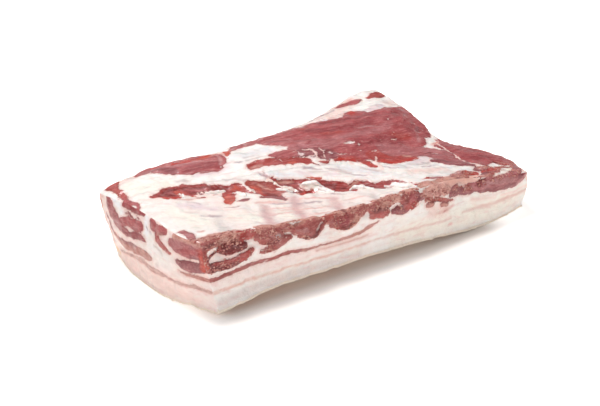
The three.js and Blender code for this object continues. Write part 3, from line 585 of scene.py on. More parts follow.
RIGHT = [
    (ON_FAT, "cream", 0, [(30, 10, 8), (100, 12, 8), (180, 12, 8)]),
    (ON_FAT, "blushed", 0, [(100, 30, 2), (112, 27, 1)]),
    (LEAN, "mauve", 0.4, [(8, 29, 2.4), (34, 28, 3.4), (54, 29, 3), (72, 31, 2.6), (88, 33, 1)]),
    (LEAN, "salmon", 0, [(20, 22, 0.4), (44, 22, 0.8), (64, 23, 0.3)]),
    (LEAN, "pale salmon", -0.1, [(4, 16, 0.8), (60, 17, 0.9), (104, 15, 0.8), (150, 16, 1.2), (204, 17, 1)]),
    (LEAN, "salmon", 0, [(78, 23, 0.4), (110, 20, 1), (150, 25, 1.6), (176, 26, 2), (204, 27, 1.4)]),
    (LEAN, "flank", 0.8, [(106, 42, 1), (126, 40, 4.6), (144, 41, 6), (162, 43, 5), (176, 45, 2.6)]),
    (LEAN, "mauve", 0.4, [(122, 30, 0.8), (140, 32, 2), (160, 35, 1.6), (172, 35, 0.6)]),
    (LEAN, "red", 0.4, [(170, 40, 1), (182, 40, 2.2), (194, 42, 1.6), (205, 42, 1.4)]),
    (LEAN, "plum", 0.3, [(188, 34, 0.8), (198, 34, 1.4), (206, 35, 1)]),
    (ON_LEAN, "flank dark", 0, [(130, 39, 2), (146, 38, 3), (160, 40, 2)]),
    (ON_LEAN, "lilac lean and painted sheen", 0, [(124, 43, 1), (140, 45, 1.4), (158, 46, 1)]),
    (FAT, "white", 0.2, [(112, 38, 0.4), (130, 37, 0.7), (146, 36.6, 0.3)]),
    (FAT, "white", 0.2, [(150, 45, 0.2), (160, 43, 0.5), (172, 41, 0.3)]),
]

BACK = [
    (ON_FAT, "cream", 0, [(20, 12, 9), (140, 12, 8), (300, 12, 8)]),
    (ON_FAT, "blue fat", 0, [(104, 48, 4), (110, 40, 4)]),
    (LEAN, "pale salmon", -0.1, [(0, 16, 1.2), (60, 14, 1.2), (130, 15, 0.8), (200, 13, 1), (316, 15, 1)]),
    (LEAN, "salmon", 0, [
        (0, 26, 1), (30, 26, 2), (70, 24, 2.4), (108, 26, 1.6), (140, 22, 0.8), (168, 22, 0.4),
    ]),
    (LEAN, "mauve", 0.2, [(150, 27, 0.4), (190, 24, 1.6), (230, 23, 2.8), (268, 26, 1.8), (312, 26, 1.2)]),
    (LEAN, "plum", 0.4, [
        (4, 39, 2), (24, 37, 1.4), (40, 36, 3.6), (66, 35, 4.4), (84, 37, 2), (96, 39, 0.8),
    ]),
    (LEAN, "mauve", 0.6, [(2, 50, 3), (30, 51, 5), (60, 53, 5), (86, 51, 4), (102, 48, 1)]),
    (LEAN, "flank", 0.8, [
        (108, 50, 1), (128, 47, 4), (150, 47, 6.4), (178, 45, 4.6), (212, 46, 5.4), (244, 47, 1.4),
    ]),
    (LEAN, "mauve", 0.3, [
        (116, 37, 0.6), (140, 34, 2.6), (160, 35, 1.2), (190, 33, 2.8), (220, 35, 1.4), (250, 38, 0.6),
    ]),
    (LEAN, "red", 0.4, [(240, 42, 0.8), (256, 44, 3.4), (272, 41, 1.6), (288, 42, 3), (306, 40, 1)]),
    (LEAN, "plum", 0.3, [(262, 34, 0.6), (280, 34, 1.8), (300, 33, 1.2), (314, 34, 1)]),
    (LEAN, "flank", 0.3, [(262, 51, 1), (276, 51, 1.4), (292, 49, 1)]),
    (ON_LEAN, "flank dark", 0, [(140, 46, 3), (176, 44, 3.4), (210, 44, 2.6)]),
    (ON_LEAN, "lilac lean and painted sheen", 0, [(130, 50, 1), (150, 51, 1.4), (190, 49, 1), (214, 49, 1.2)]),
    (ON_LEAN, "red", 0, [(50, 55, 2), (66, 55, 2.4), (82, 54, 2.4)]),
    (FAT, "white", 0.2, [(120, 43, 0.4), (140, 42, 0.8), (160, 41, 0.3)]),
    (FAT, "white", 0.2, [(176, 48, 0.2), (196, 42, 0.7), (220, 42, 0.4)]),
    (FAT, "white", 0.2, [(14, 45, 0.4), (40, 44, 0.8), (64, 45, 0.4)]),
    (FAT, "pink fat", 0.2, [(56, 36, 0.3), (72, 38, 0.6), (84, 36, 0.3)]),
]

STRANDS = {"top": TOP, "front": FRONT, "left": LEFT, "right": RIGHT, "back": BACK, "rind": []}
GROUND = {  # the fat that everything else on a side lies in
    "top": "white", "front": "white", "right": "white", "back": "white", "left": "pale pink",
    "rind": "cream",
}

# Where each side's strands are measured: which two of x, y and height run along and across it.
SIDES = ["top", "front", "right", "back", "left", "rind"]
AXES = {"top": (0, 1), "front": (0, 2), "back": (0, 2), "left": (1, 2), "right": (1, 2), "rind": (0, 1)}

# How far strands wander from their spines: wave lengths and reach
TORN = [(16, 1.5), (6, 0.9), (3.4, 0.4)]
CUT_STRAIGHT = [(26, 0.7), (8, 0.6), (3.4, 0.4)]
CUT_WAVY = [(60, 3.0), (24, 1.8), (9, 0.7), (3.4, 0.4)]
WANDER = {
    "top": TORN, "front": CUT_STRAIGHT, "left": CUT_STRAIGHT, "rind": CUT_STRAIGHT,
    "right": CUT_WAVY, "back": CUT_WAVY,
}
ALONG_SEED, ACROSS_SEED = 3, 11

# How much wider than their spines say muscles bulge, where they stand proud and where they are sunk
BULGE = {"top": 0.3, "front": 1.0, "left": 0.4, "right": 0.8, "back": 0.8, "rind": 0}
SUNK_SPREAD = 1.7

# ---------------------------------------------------------------------------------------------
# Small tools
# ---------------------------------------------------------------------------------------------
def linear(srgb):
    """The linear light of an sRGB colour of 0 to 255."""
    share = np.asarray(srgb, dtype=float) / 255
    return np.where(share <= 0.04045, share / 12.92, ((share + 0.055) / 1.055) ** 2.4)


def ease(value, start, end):
    """0 at start, 1 at end, and smooth between them."""
    t = np.clip((value - start) / (end - start), 0, 1)
    return t * t * (3 - 2 * t)


def blend(old, new, share):
    """old where the share is 0, and new where it is 1."""
    return old + (new - old) * share


def ripple(points, wave, seed):
    """Smooth noise of -1 to 1, with a wave length for all axes or one for each."""
    scaled = np.asarray(points) / (np.asarray(wave) / 2) + seed * 17.31
    cell = np.floor(scaled).astype(np.int64)
    inside = scaled - cell
    inside = inside * inside * (3 - 2 * inside)
    total = np.zeros(len(scaled))
    for corner in np.ndindex(2, 2, 2):
        x, y, z = (cell + corner).T
        mixed = (x * 73856093) ^ (y * 19349663) ^ (z * 83492791)
        mixed = (mixed ^ (mixed >> 13)) * 1274126177
        value = ((mixed ^ (mixed >> 16)) & 0xFFFF) / 0x8000 - 1
        share = np.prod(np.where(corner, inside, 1 - inside), axis=1)
        total += value * share
    return total


def ripples(points, waves):
    """Ripples added up, each given as its height, wave length and seed."""
    return sum(height * ripple(points, wave, seed) for height, wave, seed in waves)


def depth_in(spine, along, across):
    """How deep each place lies inside a strand. It is negative outside."""
    deepest = np.full(len(along), -np.inf)
    for start, end in zip(spine, spine[1:] or spine):
        run = np.subtract(end, start)
        squared = max(run[0] ** 2 + run[1] ** 2, 1e-9)
        t = np.clip(((along - start[0]) * run[0] + (across - start[1]) * run[1]) / squared, 0, 1)
        gap = np.hypot(along - start[0] - t * run[0], across - start[1] - t * run[1])
        deepest = np.maximum(deepest, start[2] + t * run[2] - gap)
    return deepest


# ---------------------------------------------------------------------------------------------
# The slab's skin
# ---------------------------------------------------------------------------------------------
SKIN_LEVELS = 2  # of subdivision
RIM_CREASE = 0.4  # how sharp the edges of the flesh side stay
RIND_CREASE = 0.9  # and those of the rind
LYING = 0.62  # a face whose normal rises or falls by more than this belongs to the flesh side or the rind
JOIN_ANGLE = math.radians(60)  # up to which two triangles become one face
WELD = 1e-6  # metres, within which two corners are one


def side_of(normal):
    """Which side of the slab a face belongs to, from where it faces."""
    if abs(normal.z) > LYING:
        return "top" if normal.z > 0 else "rind"
    if abs(normal.y) > abs(normal.x):
        return "back" if normal.y > 0 else "front"
    return "right" if normal.x > 0 else "left"


def refined_skin():
    """A fine copy of the CAD solid, with each face's side kept as its material index."""
    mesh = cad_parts[SLAB].data.copy()
    mesh.materials.clear()
    for _ in SIDES:
        mesh.materials.append(None)
    work = bmesh.new()
    work.from_mesh(mesh)
    bmesh.ops.remove_doubles(work, verts=work.verts, dist=WELD)
    bmesh.ops.join_triangles(
        work, faces=work.faces, angle_face_threshold=JOIN_ANGLE, angle_shape_threshold=JOIN_ANGLE
    )
    for face in work.faces:
        face.material_index = SIDES.index(side_of(face.normal))
        face.smooth = True
    crease = work.edges.layers.float.new("crease_edge")
    for edge in work.edges:
        sides = {face.material_index for face in edge.link_faces}
        if len(sides) > 1:
            edge[crease] = RIND_CREASE if SIDES.index("rind") in sides else RIM_CREASE
    work.to_mesh(mesh)
    work.free()
    rough = bpy.data.objects.new("skin", mesh)
    bpy.context.collection.objects.link(rough)
    subdivision = rough.modifiers.new("fine", "SUBSURF")
    subdivision.levels = subdivision.render_levels = SKIN_LEVELS
    evaluated = rough.evaluated_get(bpy.context.evaluated_depsgraph_get())
    fine = bpy.data.meshes.new_from_object(evaluated)
    bpy.data.objects.remove(rough)
    return fine


def read(items, field, width, kind=float):
    """A field of a mesh's items, as an array with one row for each."""
    values = np.empty(len(items) * width, dtype=kind)
    items.foreach_get(field, values)
    return values.reshape(-1, width) if width > 1 else values


# ---------------------------------------------------------------------------------------------
# Laying out the tissues
# ---------------------------------------------------------------------------------------------
DEEP_FAT = -12.0  # leanness far from any muscle
PAINTED_POCKET_SHADE = np.array((0.5, 0.3, 0.32))  # painted shade: what is left of the tint's light deep in a pocket
STRAND_REACH = 9.0  # beyond its edge, how far a strand is felt
STANDS_PROUD = 0.3  # muscles higher than this bulge
LIES_SUNK = -0.7  # those lower than this spread
LIES_DEEP = -1.2  # and those lower than this darken with painted shade
DEEP_SHADE = (1.4, 4.2)  # how far inside a deep pocket the painted shade starts, and where it is darkest

# A stain fades out over this blur and a share of its width, and is full at a share of that inside.
STAIN_BLUR = 0.8
STAIN_SPREAD = {ON_LEAN: 0.4, ON_FAT: 0.9}
STAIN_CORE = 0.7

# Where one muscle's tint gives way to the next, and fat's, and where a strand's relief rises: from
# outside its edge to inside it
LEAN_SEAM = (-0.8, 0.8)
FAT_SEAM = (-1.6, 0.2)
SHOULDER_FOOT = -1.0
SHOULDER_SHARE = 0.7  # of the half width
SHOULDER = (1.0, 4.0)  # but no less and no more than this


def lay_tissues(side, along, across):
    """The leanness, tints and relief that a side's strands give at each place."""
    count = len(along)
    lean = np.full(count, DEEP_FAT)
    lean_tint = np.tile(linear(TISSUE["red"]), (count, 1))
    fat_tint = np.tile(linear(TISSUE[GROUND[side]]), (count, 1))
    proud = np.zeros(count)
    for kind, tissue, height, spine in STRANDS[side]:
        stations, levels, radii = zip(*spine)
        widest = max(radii)
        margin = widest + STRAND_REACH
        near = (along > min(stations) - margin) & (along < max(stations) + margin)
        near &= (across > min(levels) - margin) & (across < max(levels) + margin)
        near = np.flatnonzero(near)
        if not len(near):
            continue
        depth = depth_in(spine, along[near], across[near])
        tint = linear(TISSUE[tissue])
        if kind in STAIN_SPREAD:
            blur = STAIN_BLUR + STAIN_SPREAD[kind] * widest
            stain = ease(depth, -blur, STAIN_CORE * blur)
            tints = lean_tint if kind == ON_LEAN else fat_tint
            tints[near] = blend(tints[near], tint, stain[:, None])
            proud[near] += height * stain
            continue
        if kind == LEAN:
            if height > STANDS_PROUD:
                depth += BULGE[side]
            elif height < LIES_SUNK:
                depth += SUNK_SPREAD
            # painted shade: a deep pocket's tint darkens towards its middle
            if height < LIES_DEEP:
                tint = blend(tint, tint * PAINTED_POCKET_SHADE, ease(depth, *DEEP_SHADE)[:, None])
            share = np.where(depth > lean[near], 1.0, ease(depth, *LEAN_SEAM))
            lean_tint[near] = blend(lean_tint[near], tint, share[:, None])
            lean[near] = np.maximum(lean[near], depth)
        else:
            lean[near] = np.minimum(lean[near], -depth)
            fat_tint[near] = blend(fat_tint[near], tint, ease(depth, *FAT_SEAM)[:, None])
        shoulder = np.clip(SHOULDER_SHARE * widest, *SHOULDER)
        proud[near] = blend(proud[near], height, ease(depth, SHOULDER_FOOT, shoulder))
    return lean, lean_tint, fat_tint, proud


# Muscle fibres run along the slab in the flank and skirt, and slant forwards in the pocket row.
FLANK_FIBRES = math.radians(-3)
POCKET_FIBRES = math.radians(-28)
FLANK_FRONT = ((0, 104), (LENGTH, 60))  # between the two, on the flesh side

GRAIN_SWAY = (4, 90, 31)  # how far fibres sway: reach, wave length and seed
CUT_GRAIN = 3.0  # on the cut sides the fibres are cut across, so they look this much shorter
RIND_DEPTH = 1.7  # thickness of the skin seen on the cut sides
FAR_FROM_RIND = -5.1
RIM_STEP = 4  # the rind's edge is followed in steps of this length


def grain_at(side, place):
    """Fibre coordinates: the first runs along the fibres, the other two across them."""
    along, across = AXES[side]
    x, y = place[:, along], place[:, across]
    if side == "top":
        (x0, y0), (x1, y1) = FLANK_FRONT
        behind = y > y0 + (x - x0) * (y1 - y0) / (x1 - x0)
        angle = np.where(behind, FLANK_FIBRES, POCKET_FIBRES)
    else:
        angle = np.zeros(len(x))
    run = x * np.cos(angle) + y * np.sin(angle)
    cross = -x * np.sin(angle) + y * np.cos(angle)
    cross += ripples(place, [GRAIN_SWAY])
    other = place[:, 3 - along - across]
    return np.stack([run, cross, other], axis=1)


def rim_height(side, place):
    """How high the rind's cut edge lies at each place of a wall."""
    along = AXES[side][0]
    station = np.round(place[:, along] / RIM_STEP).astype(int)
    lowest = np.full(station.max() + 2, np.inf)
    np.minimum.at(lowest, station, place[:, 2])
    known = np.flatnonzero(np.isfinite(lowest))
    return np.interp(place[:, along] / RIM_STEP, known, lowest[known])


# The relief of the tissues: ripples as height, wave length and seed
UNEVEN = [(0.55, 17, 21), (0.35, 8, 22)]
FIBRE_RELIEF = [(0.34, 3.6, 23), (0.3, 7, 24)]
FAT_RELIEF = [(0.28, 4.4, 25), (0.14, 3, 26)]
FAT_FOLDS = [(0.3, 7, 29)]
RIND_RELIEF = [(0.9, 9, 27), (0.4, 3, 28)]
RIND_LIP = 1.2  # how far the rind's cut edge stands proud
FIBRE_STRETCH = (0.28, 1, 1)  # ripples are drawn out along the fibres
FOLD_STRETCH = (0.3, 1, 1)  # and folds of fat along the slab
SMOOTH_FAT = 0.35  # share of the fat's relief that the flesh side has
LEAN_RELIEF = (-0.6, 1.2)  # leanness over which the fat's relief gives way to the lean's
RIND_EDGE = (-0.2, 0.6)  # distance into the rind over which its relief sets in

# Loose bits: crumbs cling to the front above CRUMB_FLOOR, and to a band of the flesh side along it.
CRUMB_FLOOR = 33
CRUMB_BAND = 20
CRUMB_BAND_GROWTH = (16, 205, 250)  # the band widens by the first between the other two
FRONT_SHREDS = 0.3  # how many shreds cling to the front, for each on the flesh side
CRUMB_LEANNESS = (-0.3, 0.8)  # crumbs set in over this leanness
SHRED_REACH = (1.6, 0.4)  # and shreds over this distance from the lean's edge
CRUMB_GROUPS = (12, 41, -0.5, 0.6)  # bits come in groups: wave length, seed, and ripple from none to full
SHRED_GROUPS = (10, 42, 0.0, 0.7)


def grouped(place, wave, seed, none, full):
    """How thickly bits lie at each place, from 0 to 1."""
    return ease(ripple(place, wave, seed), none, full)


class Flesh:
    """What lies at each corner of the skin's faces, in arrays of one row for each place and side."""

    def __init__(self, mesh):
        self.mesh = mesh
        self.place = read(mesh.vertices, "co", 3) / MM - LOW
        self.normal = read(mesh.vertices, "normal", 3)
        counts = read(mesh.polygons, "loop_total", 1, np.int32)
        face_side = read(mesh.polygons, "material_index", 1, np.int32)
        corner_vertex = read(mesh.loops, "vertex_index", 1, np.int32).astype(np.int64)
        corner_side = np.repeat(face_side, counts)
        keys, self.row_of_corner = np.unique(corner_vertex * len(SIDES) + corner_side, return_inverse=True)
        self.vertex = keys // len(SIDES)
        self.side = keys % len(SIDES)
        rows = len(keys)
        self.lean = np.zeros(rows)
        self.lean_tint = np.zeros((rows, 3))
        self.fat_tint = np.zeros((rows, 3))
        self.proud = np.zeros(rows)
        self.grain = np.zeros((rows, 3))
        self.rind = np.zeros(rows)
        self.cut = (self.side != SIDES.index("top")) * 1.0
        for index, side in enumerate(SIDES):
            self.lay_side(side, np.flatnonzero(self.side == index))

    def lay_side(self, side, rows):
        place = self.place[self.vertex[rows]]
        along, across = (place[:, axis].copy() for axis in AXES[side])
        for turn, (wave, reach) in enumerate(WANDER[side]):
            along += reach * ripple(place, wave, ALONG_SEED + turn)
            across += reach * ripple(place, wave, ACROSS_SEED + turn)
        lean, lean_tint, fat_tint, proud = lay_tissues(side, along, across)
        self.lean[rows] = lean
        self.lean_tint[rows] = lean_tint
        self.fat_tint[rows] = fat_tint
        self.proud[rows] = proud
        self.grain[rows] = grain_at(side, place)
        if side == "rind":
            self.rind[rows] = RIND_DEPTH
        elif side != "top":
            self.rind[rows] = RIND_DEPTH - (place[:, 2] - rim_height(side, place))
        else:
            self.rind[rows] = FAR_FROM_RIND

    def sculpt(self):
        """Move the skin along its normals to give each tissue its relief."""
        place = self.place[self.vertex]
        run = self.grain * FIBRE_STRETCH
        run[:, 0] *= blend(1, CUT_GRAIN, self.cut)
        inside = ease(self.lean, *LEAN_RELIEF)
        outer = self.side != SIDES.index("rind")
        rind = ease(self.rind, *RIND_EDGE) * outer
        relief = self.proud * (1 - rind)
        relief += ripples(place, UNEVEN)
        relief += inside * ripples(run, FIBRE_RELIEF)
        fatty = (1 - inside) * np.where(self.side == SIDES.index("top"), SMOOTH_FAT, 1.0)
        relief += fatty * ripples(place, FAT_RELIEF)
        relief += (1 - inside) * ripples(place * FOLD_STRETCH, FAT_FOLDS)
        relief += rind * (RIND_LIP + ripples(place, RIND_RELIEF))
        relief = np.where(outer, relief, 0)
        total = np.zeros(len(self.place))
        shares = np.zeros(len(self.place))
        np.add.at(total, self.vertex, relief)
        np.add.at(shares, self.vertex, 1)
        moved = self.place + self.normal * (total / np.maximum(shares, 1))[:, None]
        moved[:, 2] = np.maximum(moved[:, 2], 0)
        self.mesh.vertices.foreach_set("co", ((moved + LOW) * MM).ravel())
        self.mesh.update()

    def spread(self, name, rows):
        """Keep a value for each vertex: the largest of its sides'."""
        values = np.zeros(len(self.place))
        np.maximum.at(values, self.vertex, rows)
        attribute = self.mesh.attributes.new(name, "FLOAT", "POINT")
        attribute.data.foreach_set("value", values.astype(np.float32))

    def mark_bits(self):
        """Where bits cling: crumbs of meat on cut muscle ends, shreds of fat at the lean's edges."""
        place = self.place[self.vertex]
        front = self.side == SIDES.index("front")
        top = self.side == SIDES.index("top")
        growth, start, end = CRUMB_BAND_GROWTH
        near_front = top & (place[:, 1] < CRUMB_BAND + growth * ease(place[:, 0], start, end))
        muscle = ease(self.lean, *CRUMB_LEANNESS) * (front & (place[:, 2] > CRUMB_FLOOR) | near_front)
        self.spread("crumbs", muscle * grouped(place, *CRUMB_GROUPS))
        edge = ease(np.abs(self.lean), *SHRED_REACH) * (top * 1.0 + FRONT_SHREDS * front)
        self.spread("shreds", edge * grouped(place, *SHRED_GROUPS))

    def store(self):
        """Write the tissues to the mesh, for the materials to read."""
        self.add("lean", "FLOAT", self.lean)
        self.add("rind", "FLOAT", self.rind)
        self.add("cut", "FLOAT", self.cut)
        self.add("grain", "FLOAT_VECTOR", self.grain)
        for name, tint in (("lean_tint", self.lean_tint), ("fat_tint", self.fat_tint)):
            self.add(name, "FLOAT_COLOR", np.hstack([tint, np.ones((len(tint), 1))]))

    def add(self, name, kind, rows):
        field = {"FLOAT": "value", "FLOAT_VECTOR": "vector", "FLOAT_COLOR": "color"}[kind]
        attribute = self.mesh.attributes.new(name, kind, "CORNER")
        attribute.data.foreach_set(field, rows[self.row_of_corner].astype(np.float32).ravel())


# ---------------------------------------------------------------------------------------------
# Materials
# ---------------------------------------------------------------------------------------------
SHADE = {  # tints that the patterns mix in, as sRGB colours of 0 to 255
    # in fat
    "cloud": (246, 226, 214),
    "lobule": (240, 216, 206),
    "streak": (236, 194, 190),
    "pale streak": (255, 250, 240),
    "wisp": (220, 190, 196),
    "blood stain": (240, 186, 176),
    # in lean
    "bundle gap": (226, 202, 202),
    "granule gap": (232, 224, 224),
    "untinted": (255, 255, 255),
    "pale patch": (204, 138, 136),
    "pale fibre": (224, 160, 156),
    "grit": (240, 196, 186),
    "fat seam": (238, 196, 190),
    # in the rind
    "cut rind": (250, 237, 220),
    "rind seam": (226, 196, 172),
    "rind": (246, 226, 206),
    "rind patch": (236, 200, 178),
    "pore": (186, 140, 116),
    "wrinkle": (250, 238, 226),
}

# How many times a pattern repeats in a millimetre: along the fibres or the slab, then across
STREAKS = (0.07, 0.3, 0.2)
WISPS = (0.06, 0.9, 0.5)
BUNDLES = (0.05, 0.36, 0.36)
FIBRES = (0.06, 1.0, 1.0)
PATCHES = (0.05, 0.12, 0.12)
GRANULES = (0.5, 1.2, 1.2)
FAT_SEAMS = (0.035, 0.42, 0.42)
RAGGED_EDGE = (0.3, 0.8, 0.8)
WRINKLES = (0.1, 0.5, 0.5)

TORN_FRAY, CUT_FRAY = 3.4, 2.0  # how far the lean's border is frayed, on torn and on cut sides


class Nodes:
    """Short ways to place and join nodes in one tree."""

    def __init__(self, tree):
        self.tree = tree

    def add(self, kind, **settings):
        node = self.tree.nodes.new(kind)
        for name, value in settings.items():
            setattr(node, name, value)
        return node

    def join(self, source, target):
        """Join a socket, or set a plain value, to an input socket."""
        if isinstance(source, bpy.types.NodeSocket):
            self.tree.links.new(source, target)
        else:
            target.default_value = source

    def math(self, operation, *values, clamp=False):
        node = self.add("ShaderNodeMath", operation=operation, use_clamp=clamp)
        for value, socket in zip(values, node.inputs):
            self.join(value, socket)
        return node.outputs[0]

    def ramp(self, value, start, end, low=0.0, high=1.0):
        """low at start, high at end, and smooth between them."""
        node = self.add("ShaderNodeMapRange", interpolation_type="SMOOTHSTEP")
        for item, socket in zip((value, start, end, low, high), node.inputs):
            self.join(item, socket)
        return node.outputs["Result"]

    def mix(self, share, first, second, blend_type="MIX"):
        node = self.add("ShaderNodeMix", data_type="RGBA", blend_type=blend_type)
        self.join(share, node.inputs["Factor"])
        self.join(first, node.inputs[6])
        self.join(second, node.inputs[7])
        return node.outputs[2]

    def vector(self, operation, *values):
        node = self.add("ShaderNodeVectorMath", operation=operation)
        for value, socket in zip(values, node.inputs):
            self.join(value, socket)
        return node.outputs["Value" if operation == "LENGTH" else "Vector"]

    def scale(self, vector, factors):
        return self.vector("MULTIPLY", vector, factors)

    def noise(self, vector, scale, detail=2.0, roughness=0.5, distortion=0.0):
        node = self.add("ShaderNodeTexNoise")
        self.join(vector, node.inputs["Vector"])
        node.inputs["Scale"].default_value = scale
        node.inputs["Detail"].default_value = detail
        node.inputs["Roughness"].default_value = roughness
        node.inputs["Distortion"].default_value = distortion
        return node.outputs["Fac"]

    def cells(self, vector, scale, feature="F1"):
        node = self.add("ShaderNodeTexVoronoi", feature=feature)
        self.join(vector, node.inputs["Vector"])
        node.inputs["Scale"].default_value = scale
        return node.outputs["Distance"]

    def attribute(self, name, output="Fac"):
        return self.add("ShaderNodeAttribute", attribute_name=name).outputs[output]

    def place(self):
        """Object coordinates in millimetres."""
        return self.scale(self.add("ShaderNodeTexCoord").outputs["Object"], (1 / MM,) * 3)


def rgba(srgb):
    return (*linear(srgb), 1.0)


def shade(name):
    return rgba(SHADE[name])


def new_group(name, inputs, outputs):
    """A shader node group with named sockets: (name, socket kind, first value)."""
    group = bpy.data.node_groups.new(name, "ShaderNodeTree")
    for socket_name, kind, value in inputs:
        socket = group.interface.new_socket(socket_name, in_out="INPUT", socket_type=kind)
        if value is not None:
            socket.default_value = value
    for socket_name, kind in outputs:
        group.interface.new_socket(socket_name, in_out="OUTPUT", socket_type=kind)
    nodes = Nodes(group)
    return group, nodes, nodes.add("NodeGroupInput"), nodes.add("NodeGroupOutput")


def fat_group():
    """Fat: soft lobules, faint blood stains near the lean, and a finely pitted surface."""
    group, nodes, entry, leave = new_group(
        "fat surface",
        [("Place", "NodeSocketVector", None), ("Tint", "NodeSocketColor", (1, 1, 1, 1)),
         ("Near lean", "NodeSocketFloat", 0.0)],
        [("Colour", "NodeSocketColor"), ("Height", "NodeSocketFloat")],
    )
    place = entry.outputs["Place"]
    lobules = nodes.cells(place, 0.32, "SMOOTH_F1")
    cloud = nodes.noise(place, 0.11, 3, 0.55, 0.4)
    speck = nodes.noise(place, 0.9, 2, 0.6)
    colour = nodes.mix(nodes.ramp(cloud, 0.42, 0.72, 0.0, 0.4), entry.outputs["Tint"], shade("cloud"))
    colour = nodes.mix(nodes.ramp(lobules, 0.35, 0.8, 0.0, 0.14), colour, shade("lobule"))
    streak = nodes.noise(nodes.scale(place, STREAKS), 1, 4, 0.6, 0.5)
    colour = nodes.mix(nodes.ramp(streak, 0.5, 0.72, 0.0, 0.42), colour, shade("streak"))
    colour = nodes.mix(nodes.ramp(streak, 0.46, 0.3, 0.0, 0.35), colour, shade("pale streak"))
    wisps = nodes.noise(nodes.scale(place, WISPS), 1, 4, 0.65, 0.8)
    colour = nodes.mix(nodes.ramp(wisps, 0.6, 0.76, 0.0, 0.25), colour, shade("wisp"))
    stain = nodes.math("MULTIPLY", entry.outputs["Near lean"], nodes.ramp(speck, 0.35, 0.65, 0.25, 0.8))
    colour = nodes.mix(stain, colour, shade("blood stain"))
    nodes.join(colour, leave.inputs["Colour"])
    height = nodes.math("MULTIPLY_ADD", lobules, -0.5, nodes.math("MULTIPLY", speck, 0.5))
    nodes.join(height, leave.inputs["Height"])
    return group


def lean_group():
    """Lean: bundles of fibres, thin seams of fat between them, and dark and pale streaks."""
    group, nodes, entry, leave = new_group(
        "lean surface",
        [("Grain", "NodeSocketVector", None), ("Tint", "NodeSocketColor", (0.4, 0.1, 0.1, 1))],
        [("Colour", "NodeSocketColor"), ("Height", "NodeSocketFloat")],
    )
    grain = entry.outputs["Grain"]
    bundle = nodes.noise(nodes.scale(grain, BUNDLES), 1, 4, 0.6, 0.6)
    fibre = nodes.noise(nodes.scale(grain, FIBRES), 1, 4, 0.62, 0.4)
    patch = nodes.noise(nodes.scale(grain, PATCHES), 1, 3, 0.55, 0.6)
    granule = nodes.noise(nodes.scale(grain, GRANULES), 1, 2, 0.7)
    tint = entry.outputs["Tint"]
    darker = nodes.mix(nodes.ramp(bundle, 0.36, 0.6), shade("bundle gap"), shade("untinted"))
    colour = nodes.mix(1.0, tint, darker, "MULTIPLY")
    darker = nodes.mix(nodes.ramp(granule, 0.3, 0.7), shade("granule gap"), shade("untinted"))
    colour = nodes.mix(1.0, colour, darker, "MULTIPLY")
    colour = nodes.mix(nodes.ramp(patch, 0.5, 0.75, 0.0, 0.3), colour, shade("pale patch"))
    colour = nodes.mix(nodes.ramp(fibre, 0.52, 0.7, 0.0, 0.42), colour, shade("pale fibre"))
    grit = nodes.math("MULTIPLY", nodes.ramp(granule, 0.56, 0.72), nodes.ramp(bundle, 0.5, 0.65, 0.05, 0.45))
    colour = nodes.mix(grit, colour, shade("grit"))
    seam = nodes.noise(nodes.scale(grain, FAT_SEAMS), 1, 3, 0.6, 1.2)
    colour = nodes.mix(nodes.ramp(seam, 0.63, 0.72, 0.0, 0.5), colour, shade("fat seam"))
    nodes.join(colour, leave.inputs["Colour"])
    height = nodes.math("MULTIPLY_ADD", granule, 0.4, nodes.math("MULTIPLY", bundle, 0.7))
    nodes.join(nodes.math("MULTIPLY_ADD", fibre, 0.7, height), leave.inputs["Height"])
    return group


FLESH_IOR = 1.4
SUBSURFACE_RADIUS = (1.0, 0.35, 0.25)  # light reaches further into flesh in red
SUBSURFACE_SCALE = 2.5


def shader(name, subsurface):
    """A material with its nodes, and its shader set up for moist flesh."""
    material = bpy.data.materials.new(name)
    material.use_nodes = True
    nodes = Nodes(material.node_tree)
    surface = material.node_tree.nodes["Principled BSDF"]
    surface.inputs["IOR"].default_value = FLESH_IOR
    surface.inputs["Subsurface Weight"].default_value = subsurface
    surface.inputs["Subsurface Radius"].default_value = SUBSURFACE_RADIUS
    surface.inputs["Subsurface Scale"].default_value = SUBSURFACE_SCALE * MM
    return material, nodes, surface


def bump(nodes, surface, height, strength, distance):
    """Raise the surface by a height, at most by a distance in millimetres."""
    node = nodes.add("ShaderNodeBump")
    node.inputs["Strength"].default_value = strength
    node.inputs["Distance"].default_value = distance * MM
    nodes.join(height, node.inputs["Height"])
    nodes.join(node.outputs["Normal"], surface.inputs["Normal"])


